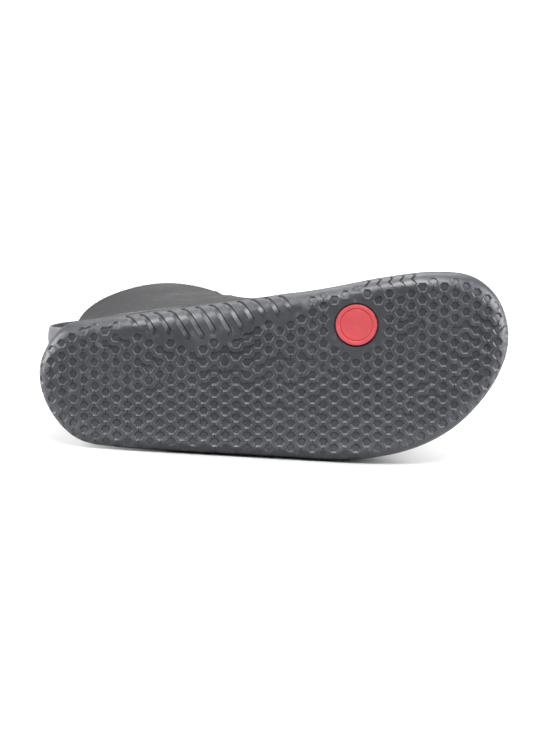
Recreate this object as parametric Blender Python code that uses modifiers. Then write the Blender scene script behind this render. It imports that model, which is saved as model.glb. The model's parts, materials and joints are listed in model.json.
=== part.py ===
"""A plain lace-up barefoot ankle boot for the left foot, lying on its outer side.

The boot is built upright in its own frame and laid down at the end: +X runs from the heel to the toe,
+Y to the outer side of the foot, +Z up from the ground. Lengths are in metres, and the tables are in
millimetres, which MM turns into metres.
"""

import math
from collections import namedtuple

import bmesh
import bpy
import numpy as np
from mathutils import Matrix, Vector

MM = 0.001

# Driving dimensions
SOLE_LENGTH = 285 * MM
TREAD_TO_FLOOR = 5 * MM          # rubber under the foot
RIM_WALL = 2.6 * MM              # the cup's side wall, measured at its lip
SIDE_WALL_HEIGHT = 15 * MM       # the cup's lip above the ground, along the sides
END_WALL_RISE = 4 * MM           # how much higher the lip is at the toe and the heel
TOE_SPRING = 7 * MM
TOE_SPRING_START = 208 * MM
ARCH_RISE = 6 * MM
ARCH_CENTRE = 112 * MM
ARCH_HALF_LENGTH = 62 * MM
ARCH_INNER_START = 2 * MM        # the arch begins to rise this far to the inner side of the axis
ARCH_INNER_END = 36 * MM
UPPER_WALL = 2.0 * MM
INSOLE_THICKNESS = 3.0 * MM
TONGUE_THICKNESS = 2.6 * MM
FIT_GAP = 0.3 * MM               # between pieces that meet
TONGUE_GAP = 0.4 * MM            # between the facings and the tongue under them

# Arch ribs: grooves that run over the inner edge of the waist
RIB_COUNT = 12
RIB_FIRST = 60 * MM
RIB_PITCH = 8.4 * MM
RIB_GROOVE_RADIUS = 0.9 * MM
RIB_SLANT = 0.5                  # forward travel for each unit of travel across the sole
RIB_CLIMBS = (0.95, 0.75, 0.5, 0.25, 0.0)   # where a groove's path has points on the rolled edge

# Inlay under the ball of the foot
INLAY_CENTRE = (194 * MM, -15.4 * MM)
INLAY_RADIUS = 13 * MM
INLAY_THICKNESS = 1.5 * MM
INLAY_SIDES = 32

# Lacing
EYELET_LEVELS = (6.85, 8.0, 9.1, 10.2, 11.3, 12.4)   # on the last, from the throat up
EYELET_TO_EDGE = 8 * MM
EYELET_HOLE_RADIUS = 2.4 * MM
EYELET_BARREL_RADIUS = 2.1 * MM
EYELET_BORE_RADIUS = 1.6 * MM
EYELET_FLANGE_RADIUS = 3.9 * MM
EYELET_FLANGE = 0.7 * MM
EYELET_SEAT = 0.5 * MM           # flange to leather at its middle, so that its rim clears the curve
EYELET_BARREL = 1.4 * MM         # the barrel's length in the leather, short of the tongue behind it
EYELET_SIDES = 10
LACE_RADIUS = 1.7 * MM
LACE_POINTS = 11

# Pull loop at the back of the collar
LOOP_WIDTH = 24 * MM
LOOP_WEBBING = 1.4 * MM
LOOP_STRIPS = 4

RISE_FADE = 40 * MM              # height over the cup where the upper no longer follows the sole's rise

# Mesh fineness
SIDE_STEPS = 28                  # steps along one side of the foot, from the heel to the toe
DECK_SHARES = (0.25, 0.5, 0.75)  # where the flat fill of a ring has points between its two sides
SEARCH_STEPS = 400               # samples along a slice when a place on it is looked for
MERGE_DISTANCE = 0.001 * MM
SMOOTH_ANGLE = math.radians(40)
STEEPEST_FLOOR = 0.5             # a face can lie on the ground if its normal is this much to the outer side

OutlineRow = namedtuple("OutlineRow", "along outer inner")
OUTLINE = (
    OutlineRow(0.0, 0.0, 0.0),
    OutlineRow(4.9, 20.9, 17.0),
    OutlineRow(19.1, 38.5, 30.8),
    OutlineRow(41.7, 45.8, 33.2),
    OutlineRow(71.2, 50.9, 33.7),
    OutlineRow(105.6, 56.6, 34.1),
    OutlineRow(142.5, 62.4, 35.7),
    OutlineRow(179.4, 68.1, 37.7),
    OutlineRow(213.7, 66.7, 40.5),
    OutlineRow(243.3, 57.0, 40.4),
    OutlineRow(265.9, 39.7, 34.9),
    OutlineRow(280.1, 19.8, 20.6),
    OutlineRow(285.0, 0.0, 0.0),
)

# The outside of the cup, from the edge of the flat tread up to the widest line. The lip comes after it.
CupRow = namedtuple("CupRow", "inset height")
CUP_SIDE = (
    CupRow(9.0, 0.0),
    CupRow(5.6, 0.6),
    CupRow(3.0, 2.0),
    CupRow(1.2, 4.4),
    CupRow(0.3, 7.6),
    CupRow(0.0, 11.0),
)
LIP_INSET = 0.5 * MM

# How far the arch ribs reach from the sole's inner edge towards its middle
ReachRow = namedtuple("ReachRow", "along reach")
RIB_REACH = (
    ReachRow(60, 12),
    ReachRow(80, 18),
    ReachRow(100, 22),
    ReachRow(120, 20),
    ReachRow(152, 13),
)

# One row for each level of the last. Each level is a slice from the back of the heel to the front of the
# foot or shin. heel and ball scale the sole's outline there, and outer and inner are the half widths of the
# oval that the slice turns into: 0 keeps the outline and 1 is the oval alone.
LastRow = namedtuple("LastRow", "back_x back_z front_x front_z inset heel ball outer inner oval")
LAST = (
    LastRow(2.9, 5.3, 282.1, 5.3, 2.9, 1.00, 1.00, 60.0, 38.0, 0.00),
    LastRow(2.9, 20.5, 282.1, 20.5, 2.9, 1.00, 1.00, 60.0, 38.0, 0.00),
    LastRow(2.6, 28.0, 277.5, 27.0, 2.6, 1.00, 0.98, 58.0, 38.0, 0.00),
    LastRow(3.6, 37.0, 267.0, 33.5, 2.6, 0.97, 0.91, 54.0, 37.0, 0.08),
    LastRow(5.4, 47.0, 250.0, 41.0, 2.6, 0.92, 0.80, 50.0, 35.5, 0.20),
    LastRow(7.8, 57.0, 227.0, 49.5, 2.6, 0.88, 0.66, 46.0, 33.5, 0.38),
    LastRow(10.2, 67.0, 202.0, 59.5, 2.6, 0.85, 0.52, 43.0, 31.5, 0.56),
    LastRow(12.2, 77.0, 178.5, 71.0, 2.6, 0.83, 0.44, 42.0, 30.5, 0.74),
    LastRow(13.4, 87.0, 158.5, 84.0, 2.6, 0.82, 0.42, 41.5, 30.0, 0.88),
    LastRow(13.8, 97.0, 143.5, 97.5, 2.6, 0.82, 0.42, 41.3, 29.6, 0.96),
    LastRow(13.4, 107.0, 132.5, 111.0, 2.6, 0.82, 0.42, 41.5, 29.6, 1.00),
    LastRow(12.2, 117.0, 125.0, 124.5, 2.6, 0.82, 0.42, 42.0, 30.0, 1.00),
    LastRow(10.6, 127.0, 120.0, 137.0, 2.6, 0.82, 0.42, 43.0, 30.6, 1.00),
    LastRow(9.0, 136.0, 116.8, 147.0, 2.6, 0.82, 0.42, 44.0, 31.2, 1.00),
    LastRow(7.4, 146.0, 114.0, 158.0, 2.6, 0.82, 0.42, 45.0, 31.8, 1.00),
)
COLLAR_LEVEL = 13.0
THROAT_LEVEL = 6.3               # where the facings part, on the vamp

# Half the gap between the facings, by level
ThroatRow = namedtuple("ThroatRow", "level half_gap")
THROAT = (
    ThroatRow(THROAT_LEVEL, 0.0),
    ThroatRow(6.36, 3.0),
    ThroatRow(6.55, 5.0),
    ThroatRow(8.0, 7.0),
    ThroatRow(COLLAR_LEVEL, 11.0),
)
UPPER_LEVELS = (0, 1, 1.5, 2.2, 3, 4, 5, 5.7, THROAT_LEVEL, 6.36, 6.55, 7.4, *EYELET_LEVELS, COLLAR_LEVEL)

# Half the tongue's width, by level
TongueRow = namedtuple("TongueRow", "level half_width")
TONGUE = (
    TongueRow(5.7, 17.0),
    TongueRow(6.4, 20.0),
    TongueRow(7.5, 22.0),
    TongueRow(9.0, 23.5),
    TongueRow(10.5, 24.5),
    TongueRow(12.0, 25.5),
    TongueRow(13.0, 26.0),
    TongueRow(13.5, 24.5),
    TongueRow(13.75, 21.0),
)
TONGUE_STRIPS = 12

# The pull loop's outer face: level on the last and height off the leather, from its outer end over the collar
LoopRow = namedtuple("LoopRow", "level height")
LOOP = (
    LoopRow(10.4, 1.8),
    LoopRow(10.9, 2.4),
    LoopRow(11.4, 6.0),
    LoopRow(12.1, 12.0),
    LoopRow(12.8, 16.2),
    LoopRow(13.4, 16.8),
    LoopRow(13.8, 14.0),
    LoopRow(14.0, 9.0),
    LoopRow(13.95, 3.5),
    LoopRow(13.75, -1.0),
    LoopRow(13.4, -3.6),
    LoopRow(12.8, -4.0),
    LoopRow(12.0, -3.8),
)

BASE_COLOURS = {
    "black_rubber": ((0.030, 0.032, 0.036), 0.62),
    "red_rubber": ((0.62, 0.055, 0.075), 0.5),
    "charcoal_leather": ((0.055, 0.056, 0.060), 0.55),
    "footbed_fabric": ((0.045, 0.045, 0.048), 0.9),
    "dark_metal": ((0.09, 0.09, 0.095), 0.35),
    "lace_cord": ((0.025, 0.025, 0.027), 0.8),
    "webbing": ((0.12, 0.12, 0.125), 0.85),
}
METALS = ("dark_metal",)

# Weights of the materials, for the balance of the lying boot, in kilograms a cubic metre
DENSITY = {"black_rubber": 1150, "charcoal_leather": 900, "footbed_fabric": 250, "dark_metal": 7000}
OTHER_DENSITY = 600


def through(knots, values, at):
    """A smooth curve through a table's values: cubic pieces whose slopes come from the neighbouring rows."""
    knots = np.asarray(knots, float)
    values = np.asarray(values, float)
    slopes = np.gradient(values, knots)
    piece = np.clip(np.searchsorted(knots, at) - 1, 0, len(knots) - 2)
    step = knots[piece + 1] - knots[piece]
    t = (at - knots[piece]) / step
    start = values[piece] * (1 + 2 * t) * (1 - t) ** 2 + step * slopes[piece] * t * (1 - t) ** 2
    end = values[piece + 1] * t * t * (3 - 2 * t) + step * slopes[piece + 1] * t * t * (t - 1)
    return start + end


def smoothstep(value):
    """0 below 0, 1 above 1, and a soft rise between them."""
    t = np.clip(value, 0.0, 1.0)
    return t * t * (3 - 2 * t)


def closed_outline():
    """The outline's half widths against the turn round the foot, with two more rows past each end."""
    along = np.array([row.along for row in OUTLINE]) * MM
    turns = np.arccos(np.clip(1 - 2 * along / SOLE_LENGTH, -1, 1))
    outer = np.array([row.outer for row in OUTLINE]) * MM
    inner = -np.array([row.inner for row in OUTLINE]) * MM
    loop_turns = np.concatenate([-turns[:0:-1], turns])
    loop_values = np.concatenate([inner[:0:-1], outer])
    full = 2 * math.pi
    loop_turns = np.concatenate([loop_turns[-3:-1] - full, loop_turns, loop_turns[1:3] + full])
    loop_values = np.concatenate([loop_values[-3:-1], loop_values, loop_values[1:3]])
    return loop_turns, loop_values


OUTLINE_TURNS, OUTLINE_WIDTHS = closed_outline()


def wrapped(turn):
    """The same turn between -pi and pi: 0 at the heel, pi at the toe, positive on the outer side."""
    return (np.asarray(turn, float) + math.pi) % (2 * math.pi) - math.pi


def outline(turn, inset=0.0):
    """(x, y) of the sole's widest outline at a turn, moved inwards by inset."""
    def edge(at):
        return SOLE_LENGTH * (1 - np.cos(at)) / 2, through(OUTLINE_TURNS, OUTLINE_WIDTHS, wrapped(at))

    nudge = 1e-4
    x, y = edge(turn)
    ahead_x, ahead_y = edge(np.asarray(turn) + nudge)
    behind_x, behind_y = edge(np.asarray(turn) - nudge)
    run_x, run_y = ahead_x - behind_x, ahead_y - behind_y
    length = np.hypot(run_x, run_y)
    return x + inset * run_y / length, y - inset * run_x / length


def rise(x, y):
    """How far the sole lifts off the ground plane: the toe spring and the arch on the inner side."""
    toe = np.clip((x - TOE_SPRING_START) / (SOLE_LENGTH - TOE_SPRING_START), 0, 1)
    reach = np.clip(np.abs(x - ARCH_CENTRE) / ARCH_HALF_LENGTH, 0, 1)
    inward = smoothstep((-y - ARCH_INNER_START) / (ARCH_INNER_END - ARCH_INNER_START))
    return TOE_SPRING * toe ** 2 + ARCH_RISE * (1 - smoothstep(reach)) * inward


def lip_height(turn):
    """The top of the cup's side wall, above the ground before the toe spring and the arch."""
    return SIDE_WALL_HEIGHT + END_WALL_RISE * np.cos(turn) ** 2


def skin(level, turn):
    """A point on the outside of the upper, as x, y, z in the last column."""
    turn = wrapped(turn)
    levels = np.arange(len(LAST))
    row = LastRow(*(through(levels, column, level) for column in np.array(LAST).T))
    inset = row.inset * MM
    flat_x, flat_y = outline(turn, inset)
    share = np.clip((flat_x - inset) / (SOLE_LENGTH - 2 * inset), 0, 1)
    scale = row.heel + (row.ball - row.heel) * smoothstep(share)
    oval_y = np.where(turn >= 0, row.outer, row.inner) * MM * np.sin(turn)
    x = (row.back_x + share * (row.front_x - row.back_x)) * MM
    y = flat_y * scale * (1 - row.oval) + oval_y * row.oval
    flat_z = (row.back_z + share * (row.front_z - row.back_z)) * MM
    low = 1 - smoothstep((flat_z - LAST[1].back_z * MM) / RISE_FADE)
    return np.stack(np.broadcast_arrays(x, y, flat_z + rise(x, y) * low), axis=-1)


def off_skin(level, turn, height):
    """A point at a height off the upper's outside, along its outward normal."""
    level, turn = np.broadcast_arrays(np.asarray(level, float), np.asarray(turn, float))
    nudge = 1e-3
    around = skin(level, turn + nudge) - skin(level, turn - nudge)
    upward = skin(level + nudge, turn) - skin(level - nudge, turn)
    normal = np.cross(upward, around)
    normal /= np.linalg.norm(normal, axis=-1, keepdims=True)
    return skin(level, turn) + np.asarray(height)[..., None] * normal


def edge_turn(level, half_width, side):
    """The turn on one side (+1 outer, -1 inner) where the slice's front comes within half_width of the axis."""
    turns = side * np.linspace(0.5 * math.pi, math.pi, SEARCH_STEPS)
    widths = np.abs(skin(level, turns)[:, 1])
    return float(np.interp(-half_width, -widths, turns))


def table_value(table, at):
    """A two-column table's second column, read at a value of its first by straight lines, in metres."""
    return float(np.interp(at, [row[0] for row in table], [row[1] for row in table])) * MM


def facing_turn(level, side):
    """The turn of the facing's edge, which is the toe's own turn below the throat."""
    gap = table_value(THROAT, level)
    return side * math.pi if gap == 0 else edge_turn(level, gap, side)


def material(name):
    """The named material, made on first use."""
    found = bpy.data.materials.get(name)
    if found:
        return found
    colour, roughness = BASE_COLOURS[name]
    made = bpy.data.materials.new(name)
    made.use_nodes = True
    shader = made.node_tree.nodes["Principled BSDF"]
    shader.inputs["Base Color"].default_value = (*colour, 1)
    shader.inputs["Roughness"].default_value = roughness
    shader.inputs["Metallic"].default_value = 1.0 if name in METALS else 0.0
    return made


def new_collection(name):
    made = bpy.data.collections.new(name)
    bpy.context.scene.collection.children.link(made)
    return made


def add_object(name, mesh, finish, collection):
    """An object for a mesh, shaded smooth and with its material."""
    made = bpy.data.objects.new(name, mesh)
    mesh.materials.clear()
    mesh.materials.append(material(finish))
    mesh.shade_smooth()
    mesh.set_sharp_from_angle(angle=SMOOTH_ANGLE)
    collection.objects.link(made)
    return made


def as_mesh(bm, name):
    """The bmesh as a mesh with its normals pointing out."""
    bmesh.ops.recalc_face_normals(bm, faces=bm.faces)
    mesh = bpy.data.meshes.new(name)
    bm.to_mesh(mesh)
    bm.free()
    return mesh


def add_points(bm, points):
    return [bm.verts.new(point) for point in points]


def loft(bm, rings, closed):
    """Faces between neighbouring rows of points with the same number of points."""
    for low, high in zip(rings, rings[1:]):
        count = len(low)
        for i in range(count if closed else count - 1):
            j = (i + 1) % count
            bm.faces.new((low[i], low[j], high[j], high[i]))


def deck(bm, ring, flat_height):
    """Fills a closed ring round the foot with a surface at a height above the sole's rise."""
    half = len(ring) // 2
    rows = []
    for i in range(1, half):
        inner, outer = ring[i], ring[-i]
        row = [inner]
        for share in DECK_SHARES:
            x, y = inner.co.xy.lerp(outer.co.xy, share)
            row.append(bm.verts.new((x, y, flat_height + rise(x, y))))
        rows.append(row + [outer])
    loft(bm, rows, closed=False)
    for tip, row in ((ring[0], rows[0]), (ring[half], rows[-1])):
        for a, b in zip(row, row[1:]):
            bm.faces.new((tip, a, b))


def ring_turns():
    """Turns round the foot from the toe by the inner side, the heel and the outer side."""
    return np.linspace(-math.pi, math.pi, 2 * SIDE_STEPS, endpoint=False)


def sole_ring(inset, height):
    """A closed row of points at an inset from the outline and a height above the sole's rise."""
    x, y = outline(ring_turns(), inset)
    return np.stack([x, y, height + rise(x, y)], axis=-1)


def cut_with(target, cutter, name):
    cut = target.modifiers.new(name, "BOOLEAN")
    cut.operation = "DIFFERENCE"
    cut.object = cutter


def hide_cutter(cutter):
    cutter.hide_render = True
    cutter.display_type = "WIRE"
    return cutter


def cylinder_mesh(name, radius, depth, sides, matrix):
    bm = bmesh.new()
    bmesh.ops.create_cone(
        bm, cap_ends=True, segments=sides, radius1=radius, radius2=radius, depth=depth, matrix=matrix
    )
    return as_mesh(bm, name)


def tube_mesh(name, points, radius, resolution):
    """A round tube with closed ends along points, as a mesh."""
    curve = bpy.data.curves.new(name, "CURVE")
    curve.dimensions = "3D"
    curve.bevel_depth = radius
    curve.bevel_resolution = resolution
    curve.use_fill_caps = True
    spline = curve.splines.new("POLY")
    spline.points.add(len(points) - 1)
    for place, point in zip(spline.points, points):
        place.co = (*point, 1)
    holder = bpy.data.objects.new(name, curve)
    bpy.context.scene.collection.objects.link(holder)
    bpy.context.view_layer.update()
    graph = bpy.context.evaluated_depsgraph_get()
    mesh = bpy.data.meshes.new_from_object(holder.evaluated_get(graph))
    bpy.data.objects.remove(holder)
    bm = bmesh.new()
    bm.from_mesh(mesh)
    bpy.data.meshes.remove(mesh)
    bmesh.ops.remove_doubles(bm, verts=bm.verts, dist=MERGE_DISTANCE)
    return as_mesh(bm, name)


def cup_surface(turn, climb):
    """A point on the outside of the cup: climb 0 is the flat tread's edge and 1 the widest line."""
    climbs = np.linspace(0, 1, len(CUP_SIDE))
    inset = through(climbs, [row.inset for row in CUP_SIDE], climb) * MM
    height = through(climbs, [row.height for row in CUP_SIDE], climb) * MM
    x, y = outline(turn, inset)
    return np.array([x, y, height + rise(x, y)])


def rib_path(start):
    """One arch groove: from the middle of the side wall over the inner edge and slanting across the tread."""
    def turn_at(along):
        return -math.acos(1 - 2 * along / SOLE_LENGTH)

    path = []
    for climb in RIB_CLIMBS:
        lead = CUP_SIDE[0].inset * MM * (1 - climb) * RIB_SLANT
        path.append(cup_surface(turn_at(start + lead), climb))
    x, y, _ = path[-1]
    reach = table_value(RIB_REACH, start / MM) - CUP_SIDE[0].inset * MM
    for across in (reach / 2, reach):
        rib_x = x + across * RIB_SLANT
        rib_y = y + across
        path.append(np.array([rib_x, rib_y, float(rise(rib_x, rib_y))]))
    return path


def make_outsole(parts, cutters):
    """The rubber cup sole: flat tread, rolled edge, side wall, lip and inner floor, with the arch ribs cut in."""
    bm = bmesh.new()
    rings = [add_points(bm, sole_ring(row.inset * MM, row.height * MM)) for row in CUP_SIDE]
    lip = lip_height(ring_turns())
    rings.append(add_points(bm, sole_ring(LIP_INSET, lip)))
    rings.append(add_points(bm, sole_ring(RIM_WALL, lip)))
    rings.append(add_points(bm, sole_ring(RIM_WALL, TREAD_TO_FLOOR)))
    loft(bm, rings, closed=True)
    deck(bm, rings[0], 0.0)
    deck(bm, rings[-1], TREAD_TO_FLOOR)
    outsole = add_object("outsole", as_mesh(bm, "outsole"), "black_rubber", parts)

    for i in range(RIB_COUNT):
        groove = tube_mesh(f"rib_cutter_{i + 1}", rib_path(RIB_FIRST + i * RIB_PITCH), RIB_GROOVE_RADIUS, 1)
        cutter = hide_cutter(add_object(groove.name, groove, "black_rubber", cutters))
        cut_with(outsole, cutter, f"arch_rib_{i + 1}")

    pocket_depth = INLAY_THICKNESS + FIT_GAP
    overshoot = 1 * MM
    middle = Matrix.Translation((*INLAY_CENTRE, (pocket_depth - overshoot) / 2))
    pocket = cylinder_mesh(
        "inlay_pocket_cutter", INLAY_RADIUS + FIT_GAP, pocket_depth + overshoot, INLAY_SIDES, middle
    )
    cut_with(outsole, hide_cutter(add_object(pocket.name, pocket, "black_rubber", cutters)), "inlay_pocket")


def make_inlay(parts):
    """A plain round rubber plug, flush with the tread under the ball of the foot."""
    middle = Matrix.Translation((*INLAY_CENTRE, INLAY_THICKNESS / 2))
    mesh = cylinder_mesh("sole_inlay", INLAY_RADIUS, INLAY_THICKNESS, INLAY_SIDES, middle)
    add_object("sole_inlay", mesh, "red_rubber", parts)


def make_insole(parts):
    """A loose footbed on the sole's floor, inside the upper's lower edge."""
    inset = LAST[0].inset * MM + UPPER_WALL + FIT_GAP
    floor = TREAD_TO_FLOOR + FIT_GAP
    bm = bmesh.new()
    low = add_points(bm, sole_ring(inset, floor))
    high = add_points(bm, sole_ring(inset, floor + INSOLE_THICKNESS))
    loft(bm, [low, high], closed=True)
    deck(bm, low, floor)
    deck(bm, high, floor + INSOLE_THICKNESS)
    add_object("insole", as_mesh(bm, "insole"), "footbed_fabric", parts)


def shell(name, rows, thickness, finish, parts):
    """A sheet through rows of points, thickened inwards."""
    bm = bmesh.new()
    loft(bm, [add_points(bm, row) for row in rows], closed=False)
    bmesh.ops.remove_doubles(bm, verts=bm.verts, dist=MERGE_DISTANCE)
    mesh = bpy.data.meshes.new(name)
    bm.to_mesh(mesh)
    bm.free()
    made = add_object(name, mesh, finish, parts)
    wall = made.modifiers.new("wall", "SOLIDIFY")
    wall.thickness = thickness
    wall.offset = -1
    return made


def eyelet_places():
    """(name, level, turn) of each eyelet, in rows from the throat up."""
    places = []
    for side, side_name in ((1, "outer"), (-1, "inner")):
        for i, level in enumerate(EYELET_LEVELS):
            edge = facing_turn(level, side)
            turns = np.linspace(edge, edge - side * 0.3 * math.pi, SEARCH_STEPS)
            steps = np.linalg.norm(np.diff(skin(level, turns), axis=0), axis=1)
            walked = np.concatenate([[0], np.cumsum(steps)])
            places.append((f"{side_name}_{i + 1}", level, float(np.interp(EYELET_TO_EDGE, walked, turns))))
    return places


def seat_matrix(level, turn, height):
    """A frame on the upper's outside with its Z axis along the outward normal."""
    seat = Vector(off_skin(level, turn, height))
    normal = (Vector(off_skin(level, turn, 1 * MM)) - Vector(off_skin(level, turn, 0))).normalized()
    return Matrix.Translation(seat) @ normal.to_track_quat("Z", "Y").to_matrix().to_4x4()


def make_upper(parts, cutters):
    """Vamp, quarters and shaft as one hollow wall, open underneath, at the throat and at the collar."""
    rows = []
    for level in sorted(UPPER_LEVELS):
        outer = np.linspace(facing_turn(level, 1), 0, SIDE_STEPS + 1)
        inner = np.linspace(0, facing_turn(level, -1), SIDE_STEPS + 1)
        rows.append(skin(level, np.concatenate([outer, inner[1:]])))
    upper = shell("upper", rows, UPPER_WALL, "charcoal_leather", parts)
    for name, level, turn in eyelet_places():
        hole = cylinder_mesh(
            f"hole_cutter_{name}", EYELET_HOLE_RADIUS, 4 * UPPER_WALL, EYELET_SIDES, seat_matrix(level, turn, 0)
        )
        cut_with(upper, hide_cutter(add_object(hole.name, hole, "charcoal_leather", cutters)), f"hole_{name}")


def make_tongue(parts):
    """A padded flap behind the throat, from under the vamp to above the collar."""
    depth = UPPER_WALL + TONGUE_GAP
    first, last = TONGUE[0].level, TONGUE[-1].level
    levels = {level for level in UPPER_LEVELS if first <= level <= last}
    rows = []
    for level in sorted(levels | {row.level for row in TONGUE if row.level > COLLAR_LEVEL}):
        half_width = table_value(TONGUE, level)
        outer = edge_turn(level, half_width, 1)
        inner = edge_turn(level, half_width, -1) + 2 * math.pi
        turns = np.linspace(inner, outer, TONGUE_STRIPS + 1)
        rows.append(off_skin(level, turns, np.full(turns.shape, -depth)))
    shell("tongue", rows, TONGUE_THICKNESS, "charcoal_leather", parts)


def make_eyelets(parts):
    """Turned metal eyelets: a flange on the leather and a barrel through its hole."""
    profile = (
        (EYELET_BORE_RADIUS, EYELET_FLANGE),
        (EYELET_FLANGE_RADIUS - EYELET_FLANGE, EYELET_FLANGE),
        (EYELET_FLANGE_RADIUS, 0.0),
        (EYELET_BARREL_RADIUS, 0.0),
        (EYELET_BARREL_RADIUS, -EYELET_SEAT - EYELET_BARREL),
        (EYELET_BORE_RADIUS, -EYELET_SEAT - EYELET_BARREL),
    )
    for name, level, turn in eyelet_places():
        bm = bmesh.new()
        points = add_points(bm, [(radius, 0, height) for radius, height in profile])
        for a, b in zip(points, points[1:] + points[:1]):
            bm.edges.new((a, b))
        mesh = bpy.data.meshes.new(f"eyelet_{name}")
        bm.to_mesh(mesh)
        bm.free()
        eyelet = add_object(mesh.name, mesh, "dark_metal", parts)
        eyelet.matrix_world = seat_matrix(level, turn, EYELET_SEAT)
        turned = eyelet.modifiers.new("turned", "SCREW")
        turned.steps = EYELET_SIDES
        turned.render_steps = EYELET_SIDES
        turned.use_merge_vertices = True
        turned.merge_threshold = MERGE_DISTANCE
        turned.use_smooth_shade = True


def make_laces(parts):
    """Straight bars of lace, one across the throat for each row of eyelets."""
    places = {name: (level, turn) for name, level, turn in eyelet_places()}
    height = EYELET_SEAT + EYELET_FLANGE + FIT_GAP + LACE_RADIUS
    for i in range(1, len(EYELET_LEVELS) + 1):
        level, outer = places[f"outer_{i}"]
        inner = places[f"inner_{i}"][1] + 2 * math.pi
        turns = np.linspace(outer, inner, LACE_POINTS)
        points = off_skin(level, turns, np.full(turns.shape, height))
        mesh = tube_mesh(f"lace_bar_{i}", points, LACE_RADIUS, 2)
        add_object(mesh.name, mesh, "lace_cord", parts)


def make_pull_loop(parts):
    """A loop of webbing over the back of the collar, sewn to the outside and the inside of the upper."""
    across = np.linspace(LOOP_WIDTH / 2, -LOOP_WIDTH / 2, LOOP_STRIPS + 1)
    span = np.linspace(-0.2 * math.pi, 0.2 * math.pi, SEARCH_STEPS)
    rows = []
    for row in LOOP:
        height = row.height * MM
        turns = np.interp(across, off_skin(row.level, span, np.full(span.shape, height))[:, 1], span)
        rows.append(off_skin(row.level, turns, np.full(turns.shape, height)))
    shell("pull_loop", rows, LOOP_WEBBING, "webbing", parts)


def evaluated_points(obj, graph):
    """The object's points and triangles as its modifiers leave them, in the boot's own frame."""
    shown = obj.evaluated_get(graph)
    mesh = shown.to_mesh()
    mesh.calc_loop_triangles()
    points = np.array([shown.matrix_world @ vertex.co for vertex in mesh.vertices])
    triangles = np.array([triangle.vertices for triangle in mesh.loop_triangles])
    shown.to_mesh_clear()
    return points, triangles


def balance(objects):
    """All points of the boot, and its centre of mass."""
    graph = bpy.context.evaluated_depsgraph_get()
    clouds, moment, mass = [], np.zeros(3), 0.0
    for obj in objects:
        points, triangles = evaluated_points(obj, graph)
        a, b, c = (points[triangles[:, i]] for i in range(3))
        volumes = np.einsum("ij,ij->i", a, np.cross(b, c)) / 6
        weight = DENSITY.get(obj.data.materials[0].name, OTHER_DENSITY)
        moment += weight * ((a + b + c) / 4 * volumes[:, None]).sum(axis=0)
        mass += weight * volumes.sum()
        clouds.append(points)
    return np.concatenate(clouds), Vector(moment / mass)


def floor_face(points, centre):
    """The outward normal of the hull face that lies under the centre of mass when the outer side is down."""
    bm = bmesh.new()
    add_points(bm, points)
    hull = bmesh.ops.convex_hull(bm, input=bm.verts)
    bmesh.ops.delete(bm, geom=list({*hull["geom_interior"], *hull["geom_unused"]}), context="VERTS")
    bmesh.ops.triangulate(bm, faces=bm.faces)
    down = Vector((0, 1, 0))
    best = None
    for face in bm.faces:
        normal = face.normal if face.normal.y > 0 else -face.normal
        if normal.y < STEEPEST_FLOOR:
            continue
        a, b, c = (vertex.co.copy() for vertex in face.verts)
        reach = (a - centre).dot(normal) / down.dot(normal)
        foot = centre + reach * down
        sides = [(q - p).cross(foot - p).dot(normal) for p, q in ((a, b), (b, c), (c, a))]
        if min(sides) >= 0 or max(sides) <= 0:
            best = normal.copy()
    bm.free()
    return best


def lay_down(objects, root):
    """Turns the boot so that the sole's outer edge and the upper lie on the ground, centred over the origin."""
    points, centre = balance(objects)
    normal = floor_face(points, centre)
    forward = Vector((1, 0, 0))
    forward = (forward - forward.dot(normal) * normal).normalized()
    up = -normal
    turn = Matrix((forward, up.cross(forward), up))
    laid = points @ np.array(turn).T
    low, high = laid.min(axis=0), laid.max(axis=0)
    shift = Vector(((low[0] + high[0]) / 2, (low[1] + high[1]) / 2, low[2]))
    root.matrix_world = Matrix.Translation(-shift) @ turn.to_4x4()


def main():
    for obj in list(bpy.data.objects):
        bpy.data.objects.remove(obj)
    parts = new_collection("barefoot_boot")
    cutters = new_collection("cutters")
    make_outsole(parts, cutters)
    make_inlay(parts)
    make_insole(parts)
    make_upper(parts, cutters)
    make_tongue(parts)
    make_eyelets(parts)
    make_laces(parts)
    make_pull_loop(parts)
    root = bpy.data.objects.new("lying_boot", None)
    parts.objects.link(root)
    bpy.context.view_layer.update()
    pieces = [obj for obj in parts.objects if obj.type == "MESH"]
    lay_down(pieces, root)
    for obj in [*pieces, *cutters.objects]:
        obj.parent = root
    bpy.context.view_layer.update()


main()
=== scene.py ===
"""Looks of a plain lace-up barefoot boot that lies on its outer side.

The forms are worked out in the upright boot's own frame, as in the part's source: +X runs from the heel to
the toe, +Y to the outer side of the foot and +Z up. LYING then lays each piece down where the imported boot
lies. Lengths are in metres, and the tables are in millimetres, which MM turns into metres.
"""

import json
import math
import random
from collections import namedtuple
from functools import partial

import bmesh
import bpy
import numpy as np
from bpy.props import FloatProperty, FloatVectorProperty, IntProperty, PointerProperty
from mathutils import Matrix, Quaternion, Vector
from mathutils.geometry import delaunay_2d_cdt


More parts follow.
